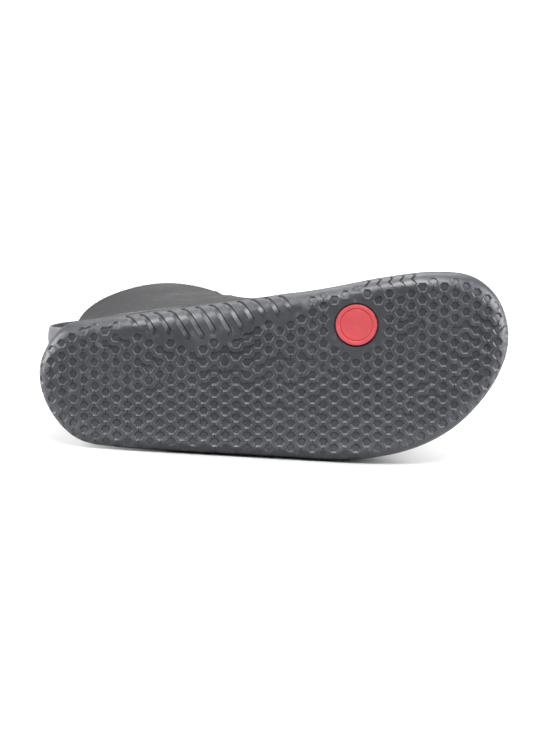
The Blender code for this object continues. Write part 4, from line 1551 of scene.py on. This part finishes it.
def stitch_row(line, length, gap, radius):
    """Stitches along a dense line of points: small rounded bars that taper at both ends."""
    walked = way_along(line)
    count = int((walked[-1] - length) // (length + gap))
    shares = np.array((0.0, 0.12, 0.35, 0.65, 0.88, 1.0))
    sizes = radius * np.array((0.35, 0.8, 1.0, 1.0, 0.8, 0.35))
    sides = 6
    stitches = []
    for k in range(count):
        at = 0.5 * gap + k * (length + gap) + shares * length
        path = np.column_stack([np.interp(at, walked, line[:, axis]) for axis in range(3)])
        stitches.append(swept(path, np.repeat(sizes[:, None], sides, axis=1), sides))
    return joined(stitches)


def stitch_lines():
    """Lines of stitching on the upper, as points just proud of the leather."""
    lines = []
    for side in (1, -1):
        climb = np.linspace(1.05, COLLAR_STITCHES, 300)
        for column in FACING_STITCHES:
            lines.append(on_upper(np.full(climb.shape, side * column), climb, STITCH_PROUD))
        for row in SEAM_STITCHES:
            column = side * np.linspace(row.start, row.end, 400)
            lines.append(on_upper(column, np.full(column.shape, row.climb), STITCH_PROUD))
    column = np.linspace(-FACING_STITCHES[-1], FACING_STITCHES[-1], 700)
    lines.append(on_upper(column, np.full(column.shape, COLLAR_STITCHES), STITCH_PROUD))
    return lines


def stitch_mesh(length, gap, radius):
    points, faces = joined(stitch_row(line, length, gap, radius) for line in stitch_lines())
    return above_floor(np.array(points), THREAD_TO_FLOOR), faces


def thicken(piece, thickness, edge, lining=0, clamped=False):
    """Gives a sheet its thickness inwards and soft edges. lining is the material number of its back."""
    wall = piece.modifiers.new("wall", "SOLIDIFY")
    wall.thickness = thickness
    wall.offset = -1
    wall.material_offset = lining
    soft = piece.modifiers.new("soft edge", "BEVEL")
    soft.width = edge
    soft.segments = 2
    soft.limit_method = "ANGLE"
    soft.angle_limit = math.radians(55)
    soft.use_clamp_overlap = clamped


def add_piece(name, points, faces, finishes, slot, replaces=(), sharp=35.0):
    """A piece of the lying boot from points and faces of the upright one. It rides on the boot's one body."""
    mesh = new_mesh(name, points, faces)
    bm = bmesh.new()
    bm.from_mesh(mesh)
    bmesh.ops.remove_doubles(bm, verts=bm.verts, dist=1e-7)
    bmesh.ops.recalc_face_normals(bm, faces=bm.faces)
    bm.to_mesh(mesh)
    bm.free()
    return add_mesh(name, mesh, finishes, replaces, sharp)


def add_mesh(name, mesh, finishes, replaces=(), sharp=35.0):
    mesh.transform(LYING)
    for finish in finishes:
        mesh.materials.append(finish)
    mesh.shade_smooth()
    mesh.set_sharp_from_angle(angle=math.radians(sharp))
    piece = bpy.data.objects.new(name, mesh)
    bpy.context.scene.collection.objects.link(piece)
    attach(piece, BODY)
    if replaces:
        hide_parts(*replaces)
    return piece


class Nodes:
    """Places and links the nodes of one shader tree."""

    def __init__(self, tree):
        self.tree = tree

    def add(self, kind, inputs=None, **settings):
        node = self.tree.nodes.new(kind)
        for name, value in settings.items():
            setattr(node, name, value)
        for name, value in (inputs or {}).items():
            if isinstance(value, bpy.types.NodeSocket):
                self.tree.links.new(value, node.inputs[name])
            else:
                node.inputs[name].default_value = value
        return node

    def link(self, value, socket):
        self.tree.links.new(value, socket)

    def place(self):
        """The place on the piece."""
        return self.add("ShaderNodeTexCoord").outputs["Object"]

    def times(self, a, b):
        return self.math("MULTIPLY", a, b)

    def math(self, operation, a, b=0.5):
        return self.add("ShaderNodeMath", {0: a, 1: b}, operation=operation).outputs[0]

    def spread(self, value, low, high, to_low=0.0, to_high=1.0):
        inputs = {"Value": value, "From Min": low, "From Max": high, "To Min": to_low, "To Max": to_high}
        return self.add("ShaderNodeMapRange", inputs, interpolation_type="SMOOTHSTEP").outputs["Result"]

    def mix(self, share, a, b, blend="MIX"):
        node = self.add("ShaderNodeMix", {0: share, 6: a, 7: b}, data_type="RGBA", blend_type=blend)
        return node.outputs[2]

    def noise(self, vector, scale, detail=4.0, roughness=0.55):
        inputs = {"Vector": vector, "Scale": scale, "Detail": detail, "Roughness": roughness}
        return self.add("ShaderNodeTexNoise", inputs).outputs["Fac"]


def new_group(name, inputs, outputs):
    """An empty shader node group of plain numbers: inputs with their usual values, and outputs."""
    group = bpy.data.node_groups.new(name, "ShaderNodeTree")
    for socket, default in inputs.items():
        made = group.interface.new_socket(socket, in_out="INPUT", socket_type="NodeSocketFloat")
        made.default_value = default
    for socket in outputs:
        group.interface.new_socket(socket, in_out="OUTPUT", socket_type="NodeSocketFloat")
    nodes = Nodes(group)
    given = nodes.add("NodeGroupInput").outputs
    result = nodes.add("NodeGroupOutput").inputs
    return nodes, given, result


def edge_wear(name):
    """A mask that is 1 on rubbed edges, broken up by noise."""
    nodes, given, result = new_group(name, {"Start": 0.515, "End": 0.58, "Scale": 400.0}, ("Mask",))
    place = nodes.place()
    edge = nodes.add("ShaderNodeNewGeometry").outputs["Pointiness"]
    mask = nodes.spread(edge, given["Start"], given["End"])
    broken = nodes.spread(nodes.noise(place, given["Scale"]), 0.3, 0.65)
    nodes.link(nodes.times(mask, broken), result["Mask"])
    return nodes.tree


def pebble_grain(name):
    """The height of a pebbled grain: soft cells with creases between them, over a low swell."""
    inputs = {"Scale": 900.0, "Swell": 0.4, "Fine": 0.25}
    nodes, given, result = new_group(name, inputs, ("Height", "Crease"))
    place = nodes.place()
    bend = nodes.add("ShaderNodeTexNoise", {"Vector": place, "Scale": 180.0, "Detail": 2.0}).outputs["Color"]
    reach = (0.0016, 0.0016, 0.0016)
    bent = nodes.add("ShaderNodeVectorMath", {0: bend, 1: reach}, operation="MULTIPLY").outputs[0]
    moved = nodes.add("ShaderNodeVectorMath", {0: place, 1: bent}, operation="ADD").outputs[0]
    cells = nodes.add(
        "ShaderNodeTexVoronoi", {"Vector": moved, "Scale": given["Scale"]}, feature="DISTANCE_TO_EDGE"
    ).outputs["Distance"]
    pebble = nodes.spread(cells, 0.0, 0.22)
    swell = nodes.times(nodes.noise(place, 60.0, 3.0), given["Swell"])
    fine = nodes.times(nodes.noise(place, 3200.0, 2.0), given["Fine"])
    height = nodes.math("ADD", nodes.math("ADD", pebble, swell), fine)
    nodes.link(height, result["Height"])
    nodes.link(nodes.math("SUBTRACT", 1.0, pebble), result["Crease"])
    return nodes.tree


def shade_drift(name):
    """Slow and fine changes of shade over a surface, for colour and roughness."""
    nodes, given, result = new_group(name, {"Slow": 14.0, "Fast": 160.0}, ("Slow", "Speck"))
    place = nodes.place()
    slow = nodes.spread(nodes.noise(place, given["Slow"], 5.0, 0.6), 0.3, 0.7)
    speck = nodes.spread(nodes.noise(place, given["Fast"], 6.0, 0.7), 0.52, 0.72)
    nodes.link(slow, result["Slow"])
    nodes.link(speck, result["Speck"])
    return nodes.tree


def plain_weave(name):
    """The height of a plain weave along a surface's own UV, with its threads counted per metre."""
    nodes, given, result = new_group(name, {"Along": 900.0, "Across": 900.0}, ("Height",))
    parts = nodes.add("ShaderNodeSeparateXYZ", {0: nodes.add("ShaderNodeUVMap").outputs["UV"]}).outputs
    along, across = (
        nodes.math("SINE", nodes.times(nodes.times(parts[k], given[count]), math.pi))
        for k, count in enumerate(("Along", "Across"))
    )
    crossing = nodes.times(along, across)
    nodes.link(nodes.math("ADD", nodes.math("ABSOLUTE", along), crossing), result["Height"])
    return nodes.tree


EFFECTS = {
    "edge wear": edge_wear,
    "pebble grain": pebble_grain,
    "shade drift": shade_drift,
    "plain weave": plain_weave,
}


def place_effect(nodes, name, **inputs):
    """A shared effect's node in a material, with its own values. Its group is built for the first of them."""
    group = bpy.data.node_groups.get(name) or EFFECTS[name](name)
    return nodes.add("ShaderNodeGroup", inputs, node_tree=group).outputs


def new_finish(name, roughness, **constants):
    """A material with a Principled shader: its nodes, the shader and the material."""
    made = bpy.data.materials.new(name)
    made.use_nodes = True
    shader = made.node_tree.nodes["Principled BSDF"]
    shader.inputs["Roughness"].default_value = roughness
    for socket, value in constants.items():
        shader.inputs[socket.replace("_", " ")].default_value = value
    return Nodes(made.node_tree), shader, made


def set_bump(nodes, shader, height, distance):
    bump = nodes.add("ShaderNodeBump", {"Height": height, "Distance": distance, "Strength": 1.0})
    nodes.link(bump.outputs["Normal"], shader.inputs["Normal"])


def tint(colour, share):
    """A colour made lighter or darker, as four numbers."""
    return (*(min(1.0, channel * share) for channel in colour), 1.0)


def drifting(nodes, colour, darker, lighter, **scales):
    """A colour that drifts slowly between two shades of itself, and the drift's own outputs."""
    drift = place_effect(nodes, "shade drift", **scales)
    return nodes.mix(drift["Slow"], tint(colour, darker), tint(colour, lighter)), drift


DUST = (0.32, 0.33, 0.35, 1.0)
BARE_METAL = (0.42, 0.42, 0.43, 1.0)


def rubber_finish(name, colour, wear_share, dust):
    """Moulded rubber: satin, with paler rubbed edges, a little dust and a fine moulded grain."""
    nodes, shader, made = new_finish(name, 0.5, Specular_IOR_Level=0.45)
    base, drift = drifting(nodes, colour, 0.86, 1.14, Slow=16.0, Fast=210.0)
    wear = place_effect(nodes, "edge wear", Start=0.51, End=0.60, Scale=520.0)["Mask"]
    dusty = nodes.mix(nodes.times(drift["Speck"], dust), base, DUST)
    worn = nodes.mix(nodes.times(wear, wear_share), dusty, tint(colour, 2.6))
    nodes.link(worn, shader.inputs["Base Color"])
    rough = nodes.spread(drift["Slow"], 0.0, 1.0, 0.42, 0.50)
    rough = nodes.math("ADD", rough, nodes.times(drift["Speck"], 0.12))
    nodes.link(rough, shader.inputs["Roughness"])
    set_bump(nodes, shader, nodes.noise(nodes.place(), 2600.0, 3.0), 0.00003)
    return made


def leather_finish(name, colour, grain_scale):
    """Smooth full-grain leather: fine pebbles with painted shade in their creases, and a thin waxy coat."""
    nodes, shader, made = new_finish(name, 0.5, Coat_Roughness=0.3, Coat_Weight=0.08, Specular_IOR_Level=0.3)
    grain = place_effect(nodes, "pebble grain", Scale=grain_scale, Swell=0.5, Fine=0.22)
    base, drift = drifting(nodes, colour, 0.82, 1.16, Slow=20.0, Fast=150.0)
    wear = place_effect(nodes, "edge wear", Start=0.512, End=0.57, Scale=300.0)["Mask"]
    # Painted shade: the grain's creases are darkened towards half the leather's colour
    crease_shaded = nodes.mix(nodes.times(grain["Crease"], 0.5), base, tint(colour, 0.5))
    worn = nodes.mix(nodes.times(wear, 0.5), crease_shaded, tint(colour, 1.9))
    nodes.link(worn, shader.inputs["Base Color"])
    rough = nodes.spread(drift["Slow"], 0.0, 1.0, 0.42, 0.54)
    rough = nodes.math("ADD", rough, nodes.times(grain["Crease"], 0.14))
    nodes.link(rough, shader.inputs["Roughness"])
    set_bump(nodes, shader, grain["Height"], 0.00012)
    return made


def cloth_finish(name, colour, along, across):
    """Woven cloth or webbing along the piece's own UV, with painted shade in the weave's hollows."""
    nodes, shader, made = new_finish(name, 0.85, Sheen_Weight=0.3, Sheen_Roughness=0.5)
    weave = place_effect(nodes, "plain weave", Along=along, Across=across)["Height"]
    base, drift = drifting(nodes, colour, 0.85, 1.15, Slow=30.0, Fast=400.0)
    # Painted shade: the low parts of the weave are darkened towards 0.55 of the colour
    thread = nodes.mix(nodes.spread(weave, 0.0, 1.4), tint(colour, 0.55), base)
    fuzzy = nodes.mix(nodes.times(drift["Speck"], 0.2), thread, tint(colour, 1.7))
    nodes.link(fuzzy, shader.inputs["Base Color"])
    set_bump(nodes, shader, weave, 0.00022)
    return made


def felt_finish(name, colour, scale):
    """Knitted or felted lining: tiny loops with painted shade between them, and a soft sheen."""
    nodes, shader, made = new_finish(name, 0.92, Sheen_Weight=0.35, Sheen_Roughness=0.6)
    grain = place_effect(nodes, "pebble grain", Scale=scale, Swell=0.3, Fine=0.6)
    base, _ = drifting(nodes, colour, 0.8, 1.2, Slow=24.0, Fast=500.0)
    # Painted shade: the creases between the loops are darkened towards 0.45 of the colour
    loops = nodes.mix(nodes.times(grain["Crease"], 0.6), base, tint(colour, 0.45))
    nodes.link(loops, shader.inputs["Base Color"])
    set_bump(nodes, shader, grain["Height"], 0.00025)
    return made


def metal_finish(name, colour):
    """Dark plated metal with rubbed edges and fine scratches."""
    nodes, shader, made = new_finish(name, 0.32, Metallic=1.0)
    wear = place_effect(nodes, "edge wear", Start=0.52, End=0.66, Scale=900.0)["Mask"]
    base, drift = drifting(nodes, colour, 0.85, 1.15, Slow=120.0, Fast=1500.0)
    worn = nodes.mix(nodes.times(wear, 0.6), base, BARE_METAL)
    nodes.link(worn, shader.inputs["Base Color"])
    rough = nodes.spread(drift["Speck"], 0.0, 1.0, 0.27, 0.5)
    nodes.link(rough, shader.inputs["Roughness"])
    set_bump(nodes, shader, nodes.noise(nodes.place(), 4200.0, 2.0), 0.00001)
    return made


LengthProperty = partial(FloatProperty, unit="LENGTH")
AngleProperty = partial(FloatProperty, subtype="ANGLE")
PowerProperty = partial(FloatProperty, unit="POWER")
ColourProperty = partial(FloatVectorProperty, subtype="COLOR", size=3)


class BootSoleSettings(bpy.types.PropertyGroup):
    """Sizes and colours of the rubber."""

    cell_radius: LengthProperty(
        name="Cell radius", description="Centre to corner of one cell of the tread", default=4.37 * MM
    )
    dimple_share: FloatProperty(
        name="Dimple share", description="Size of a dimple against its cell", default=0.65, min=0.3, max=0.85,
        subtype="FACTOR",
    )
    dimple_depth: LengthProperty(
        name="Dimple depth", description="Depth of a dimple on the flat tread", default=1.1 * MM
    )
    sipe_width: LengthProperty(
        name="Sipe width", description="Width of the slits between dimples", default=0.42 * MM
    )
    rib_depth: LengthProperty(
        name="Rib depth", description="Depth of the channels between the arch ribs", default=1.0 * MM
    )
    link_seed: IntProperty(name="Link seed", description="Picks which dimples run together", default=11)
    rubber: ColourProperty(
        name="Rubber", description="Colour of the outsole", default=(0.0148, 0.0159, 0.0200)
    )
    inlay: ColourProperty(
        name="Inlay", description="Colour of the round inlay", default=(0.315, 0.032, 0.037)
    )


class BootUpperSettings(bpy.types.PropertyGroup):
    """Colours of the leather and cloth, and the size of the stitches."""

    leather: ColourProperty(
        name="Leather", description="Colour of the upper", default=(0.0105, 0.0107, 0.0116)
    )
    lining: ColourProperty(name="Lining", description="Colour of the lining", default=(0.11, 0.112, 0.118))
    footbed: ColourProperty(name="Footbed", description="Colour of the insole", default=(0.085, 0.087, 0.092))
    webbing: ColourProperty(
        name="Webbing", description="Colour of the pull loop", default=(0.070, 0.071, 0.075)
    )
    lace: ColourProperty(name="Lace", description="Colour of the lace", default=(0.035, 0.035, 0.038))
    thread: ColourProperty(name="Thread", description="Colour of the stitches", default=(0.11, 0.112, 0.118))
    metal: ColourProperty(name="Eyelets", description="Colour of the eyelets", default=(0.22, 0.22, 0.225))
    stitch_length: LengthProperty(name="Stitch length", description="Length of one stitch", default=2.3 * MM)
    stitch_gap: LengthProperty(name="Stitch gap", description="Leather between stitches", default=0.75 * MM)
    stitch_radius: LengthProperty(
        name="Stitch radius", description="Half the thread's thickness", default=0.27 * MM
    )


class BootStageSettings(bpy.types.PropertyGroup):
    """The studio: where the camera stands, and the light."""

    elevation: AngleProperty(
        name="Elevation", description="How far the camera looks down", default=math.radians(13)
    )
    azimuth: AngleProperty(name="Azimuth", description="Turn of the camera round the boot", default=0.0)
    roll: AngleProperty(name="Roll", description="Turn of the picture", default=math.radians(3.2))
    distance: LengthProperty(name="Distance", description="From the camera to the sole", default=1.5)
    lens: FloatProperty(name="Lens", description="Focal length in millimetres", default=121.8)
    key_power: PowerProperty(
        name="Key light", description="Power of the light above and in front", default=40.0
    )
    top_power: PowerProperty(name="Top light", description="Power of the light overhead", default=8.0)
    back_power: PowerProperty(name="Back light", description="Power of the light behind", default=9.0)
    card_power: PowerProperty(name="Side cards", description="Power of each side card", default=34.0)
    sky: FloatProperty(name="Sky", description="Strength of the light from all round", default=0.45)
    floor: ColourProperty(name="Floor", description="Colour of the floor", default=(0.34, 0.34, 0.34))


class BOOT_OT_outsole(bpy.types.Operator):
    """Makes the rubber cup with its honeycomb tread and arch ribs"""

    bl_idname = "boot.outsole"
    bl_label = "Outsole"

    def execute(self, context):
        settings = context.scene.boot_sole
        finish = rubber_finish("black_rubber", settings.rubber, 0.22, 0.10)
        piece = add_piece("tread_cup", *outsole_mesh(settings), [finish], "outsole_rubber", ["outsole"])
        flat_land = piece.modifiers.new("flat land", "WEIGHTED_NORMAL")
        flat_land.keep_sharp = True
        return {"FINISHED"}


class BOOT_OT_inlay(bpy.types.Operator):
    """Makes the plain round inlay under the ball of the foot"""

    bl_idname = "boot.inlay"
    bl_label = "Inlay"

    def execute(self, context):
        finish = rubber_finish("red_rubber", context.scene.boot_sole.inlay, 0.15, 0.05)
        add_piece("round_inlay", *inlay_mesh(), [finish], "inlay_rubber", ["sole_inlay"])
        return {"FINISHED"}


class BOOT_OT_insole(bpy.types.Operator):
    """Makes the loose footbed"""

    bl_idname = "boot.insole"
    bl_label = "Insole"

    def execute(self, context):
        finish = felt_finish("footbed_knit", context.scene.boot_upper.footbed, 1500.0)
        add_piece("footbed_pad", *insole_mesh(), [finish], "footbed", ["insole"])
        return {"FINISHED"}


class BOOT_OT_upper(bpy.types.Operator):
    """Makes the leather upper with its panels, creases and lining"""

    bl_idname = "boot.upper"
    bl_label = "Upper"

    def execute(self, context):
        settings = context.scene.boot_upper
        finishes = [
            leather_finish("black_leather", settings.leather, 1100.0),
            felt_finish("lining_knit", settings.lining, 1300.0),
        ]
        piece = add_mesh("leather_upper", upper_mesh(), finishes, ["upper"])
        thicken(piece, UPPER_WALL, 0.4 * MM, lining=1)
        return {"FINISHED"}


class BOOT_OT_tongue(bpy.types.Operator):
    """Makes the tongue behind the lacing"""

    bl_idname = "boot.tongue"
    bl_label = "Tongue"

    def execute(self, context):
        settings = context.scene.boot_upper
        finishes = [
            leather_finish("tongue_leather", settings.leather, 1300.0),
            felt_finish("tongue_knit", settings.lining, 1300.0),
        ]
        piece = add_mesh("leather_tongue", tongue_mesh(), finishes, ["tongue"])
        thicken(piece, TONGUE_THICKNESS, 0.5 * MM, lining=1, clamped=True)
        return {"FINISHED"}


class BOOT_OT_eyelets(bpy.types.Operator):
    """Makes the two rows of eyelets"""

    bl_idname = "boot.eyelets"
    bl_label = "Eyelets"

    def execute(self, context):
        nodes = [f"eyelet_{name}" for name, _, _ in eyelet_places()]
        finish = metal_finish("dark_metal", context.scene.boot_upper.metal)
        add_piece("rolled_eyelets", *eyelet_mesh(), [finish], "eyelet_metal", nodes)
        return {"FINISHED"}


class BOOT_OT_lace(bpy.types.Operator):
    """Makes the lace's bars, which run down into the eyelets"""

    bl_idname = "boot.lace"
    bl_label = "Lace"

    def execute(self, context):
        nodes = [f"lace_bar_{i + 1}" for i in range(len(EYELET_LEVELS))]
        finish = felt_finish("lace_braid", context.scene.boot_upper.lace, 2600.0)
        add_piece("braided_lace", *lace_mesh(), [finish], "lace", nodes, sharp=70.0)
        return {"FINISHED"}


class BOOT_OT_pull_loop(bpy.types.Operator):
    """Makes the webbing loop at the back of the collar"""

    bl_idname = "boot.pull_loop"
    bl_label = "Pull loop"

    def execute(self, context):
        finish = cloth_finish("grey_webbing", context.scene.boot_upper.webbing, 1300.0, 1333.0)
        piece = add_mesh("webbing_loop", loop_mesh(), [finish], ["pull_loop"], sharp=50.0)
        thicken(piece, LOOP_WEBBING, 0.3 * MM)
        return {"FINISHED"}


class BOOT_OT_stitches(bpy.types.Operator):
    """Makes the rows of stitching on the upper"""

    bl_idname = "boot.stitches"
    bl_label = "Stitching"

    def execute(self, context):
        settings = context.scene.boot_upper
        points, faces = stitch_mesh(settings.stitch_length, settings.stitch_gap, settings.stitch_radius)
        finish = felt_finish("waxed_thread", settings.thread, 4000.0)
        add_piece("upper_stitches", points, faces, [finish], "lace", sharp=70.0)
        return {"FINISHED"}


class BOOT_OT_stage(bpy.types.Operator):
    """Sets the floor, the lights and the camera"""

    bl_idname = "boot.stage"
    bl_label = "Studio"

    def execute(self, context):
        settings = context.scene.boot_stage
        add_floor(settings)
        add_lights(context.scene, settings)
        add_camera(context.scene, settings)
        context.scene.view_settings.view_transform = "Standard"
        return {"FINISHED"}


def sole_middle():
    """The middle of the sole's widest line, on the lying boot."""
    x, y = outline(EDGE_TURNS)
    widest = CUP_SIDE[-1].height * MM + rise(x, y)
    return LYING @ Vector((x.mean(), y.mean(), widest.mean()))


# Softboxes and cards: places in metres, sizes, and the settings that hold their powers
LIGHTS = table(
    "name place size power",
    ("key_softbox", (0.08, -0.66, 1.20), 0.55, "key_power"),
    ("overhead_softbox", (-0.18, 0.10, 1.25), 0.8, "top_power"),
    ("back_softbox", (0.0, 1.1, 1.0), 0.8, "back_power"),
    ("heel_card", (-1.1, -0.05, 0.40), 0.9, "card_power"),
    ("toe_card", (1.1, -0.05, 0.40), 0.9, "card_power"),
)

# Sky colours in front of the boot, at its sides and behind it
SKY_FRONT = (0.05, 0.052, 0.056, 1.0)
SKY_SIDE = (0.97, 0.985, 1.03, 1.0)
SKY_BACK = (0.6, 0.605, 0.62, 1.0)

# Painted glow of the floor, which lights the boot though it is no lamp: none round the boot's middle, some
# under its ends to lift the cast shadows there, most on a strip before the sole's edge to light its rolled
# edge from below
FLOOR_HALF = 60.0
FLOOR_FRONT_SHADE = 0.85
GLOW_NONE = (0.0, 0.0, 0.0, 1.0)
GLOW_ENDS = (0.5, 0.5, 0.5, 1.0)
GLOW_STRIP = (2.2, 2.23, 2.3, 1.0)
GLOW_FAR = (0.9, 0.9, 0.9, 1.0)
STRIP_BACK_EDGE = (-0.084, -0.094)
STRIP_FRONT_EDGE = (-0.135, -0.105)
STRIP_ENDS = (0.20, 0.14)
FAR_MIDDLE = 0.45  # the far glow begins round a place this far in front of the boot


def floor_distance(nodes, place, forward):
    """Distance on the floor from a place so far in front of the boot's middle, with its X halved."""
    inputs = {"Vector": place, "Location": (0.0, forward, 0.0), "Scale": (0.5, 1.0, 1.0)}
    oval = nodes.add("ShaderNodeMapping", inputs).outputs[0]
    return nodes.add("ShaderNodeVectorMath", {0: oval}, operation="LENGTH").outputs["Value"]


def add_floor(settings):
    half = FLOOR_HALF
    corners = [(-half, -half, 0), (half, -half, 0), (half, half, 0), (-half, half, 0)]
    mesh = new_mesh("studio_floor", corners, [(0, 1, 2, 3)])
    nodes, shader, made = new_finish("studio_paper", 0.9, Specular_IOR_Level=0.1, Emission_Strength=1.0)
    place = nodes.place()
    axes = nodes.add("ShaderNodeSeparateXYZ", {0: place}).outputs
    front = nodes.spread(axes["Y"], -0.12, -0.35)
    shade = nodes.mix(front, tint(settings.floor, 1.0), tint(settings.floor, FLOOR_FRONT_SHADE))
    nodes.link(shade, shader.inputs["Base Color"])
    under = floor_distance(nodes, place, 0.0)
    away = floor_distance(nodes, place, FAR_MIDDLE)
    across = nodes.math("ABSOLUTE", axes["X"])
    # Painted light: the glow beside the ends lifts the shadows that the side cards cast on the floor
    glow = nodes.mix(nodes.spread(across, 0.05, 0.125), GLOW_NONE, GLOW_ENDS)
    glow = nodes.mix(nodes.spread(under, 0.15, 0.34), glow, GLOW_NONE)
    # Painted light: the bright strip lights the sole's lower rolled edge from below
    strip = nodes.times(nodes.spread(axes["Y"], *STRIP_BACK_EDGE), nodes.spread(axes["Y"], *STRIP_FRONT_EDGE))
    strip = nodes.times(strip, nodes.spread(across, *STRIP_ENDS))
    glow = nodes.mix(strip, glow, GLOW_STRIP)
    glow = nodes.mix(nodes.spread(away, 0.45, 1.1), glow, GLOW_FAR)
    nodes.link(glow, shader.inputs["Emission Color"])
    mesh.materials.append(made)
    floor = bpy.data.objects.new("studio_floor", mesh)
    bpy.context.scene.collection.objects.link(floor)


def aimed(ahead):
    """A turn that points a light or a camera along a direction."""
    return ahead.to_track_quat("-Z", "Y").to_matrix().to_4x4()


def add_lights(scene, settings):
    aim = sole_middle()
    for row in LIGHTS:
        light = bpy.data.lights.new(row.name, "AREA")
        light.energy = getattr(settings, row.power)
        light.size = row.size
        lamp = bpy.data.objects.new(row.name, light)
        place = Vector(row.place)
        lamp.matrix_world = Matrix.Translation(place) @ aimed(aim - place)
        scene.collection.objects.link(lamp)
    world = bpy.data.worlds.new("studio_sky")
    world.use_nodes = True
    backdrop = world.node_tree.nodes["Background"]
    backdrop.inputs["Strength"].default_value = settings.sky
    nodes = Nodes(world.node_tree)
    way = nodes.add("ShaderNodeTexCoord").outputs["Generated"]
    back = nodes.add("ShaderNodeSeparateXYZ", {0: way}).outputs["Y"]
    shade = nodes.mix(nodes.spread(back, -0.75, 0.0), SKY_FRONT, SKY_SIDE)
    shade = nodes.mix(nodes.spread(back, 0.35, 0.95), shade, SKY_BACK)
    nodes.link(shade, backdrop.inputs["Color"])
    scene.world = world


def add_camera(scene, settings):
    aim = sole_middle()
    ahead = Vector((
        -math.sin(settings.azimuth) * math.cos(settings.elevation),
        math.cos(settings.azimuth) * math.cos(settings.elevation),
        -math.sin(settings.elevation),
    ))
    camera = bpy.data.cameras.new("studio_camera")
    camera.lens = settings.lens
    holder = bpy.data.objects.new("studio_camera", camera)
    place = Matrix.Translation(aim - settings.distance * ahead)
    holder.matrix_world = place @ aimed(ahead) @ Matrix.Rotation(settings.roll, 4, "Z")
    scene.collection.objects.link(holder)
    scene.camera = holder


class BOOT_PT_looks(bpy.types.Panel):
    """Lists the boot's settings and the buttons that make its pieces"""

    bl_label = "Barefoot boot"
    bl_idname = "BOOT_PT_looks"
    bl_space_type = "VIEW_3D"
    bl_region_type = "UI"
    bl_category = "Boot"

    def draw(self, context):
        for settings in (context.scene.boot_sole, context.scene.boot_upper, context.scene.boot_stage):
            box = self.layout.box()
            for name in settings.__annotations__:
                box.prop(settings, name)
        for operator in OPERATORS:
            self.layout.operator(operator.bl_idname)


OPERATORS = (
    BOOT_OT_stage,
    BOOT_OT_outsole,
    BOOT_OT_inlay,
    BOOT_OT_insole,
    BOOT_OT_upper,
    BOOT_OT_tongue,
    BOOT_OT_eyelets,
    BOOT_OT_lace,
    BOOT_OT_pull_loop,
    BOOT_OT_stitches,
)
SETTINGS = {"boot_sole": BootSoleSettings, "boot_upper": BootUpperSettings, "boot_stage": BootStageSettings}
CLASSES = (*SETTINGS.values(), *OPERATORS, BOOT_PT_looks)


def register():
    for kind in CLASSES:
        bpy.utils.register_class(kind)
    for name, kind in SETTINGS.items():
        setattr(bpy.types.Scene, name, PointerProperty(type=kind))


def unregister():
    for name in SETTINGS:
        delattr(bpy.types.Scene, name)
    for kind in reversed(CLASSES):
        bpy.utils.unregister_class(kind)


def main():
    register()
    for operator in OPERATORS:
        group, name = operator.bl_idname.split(".")
        getattr(getattr(bpy.ops, group), name)()


if __name__ == "__main__":
    main()
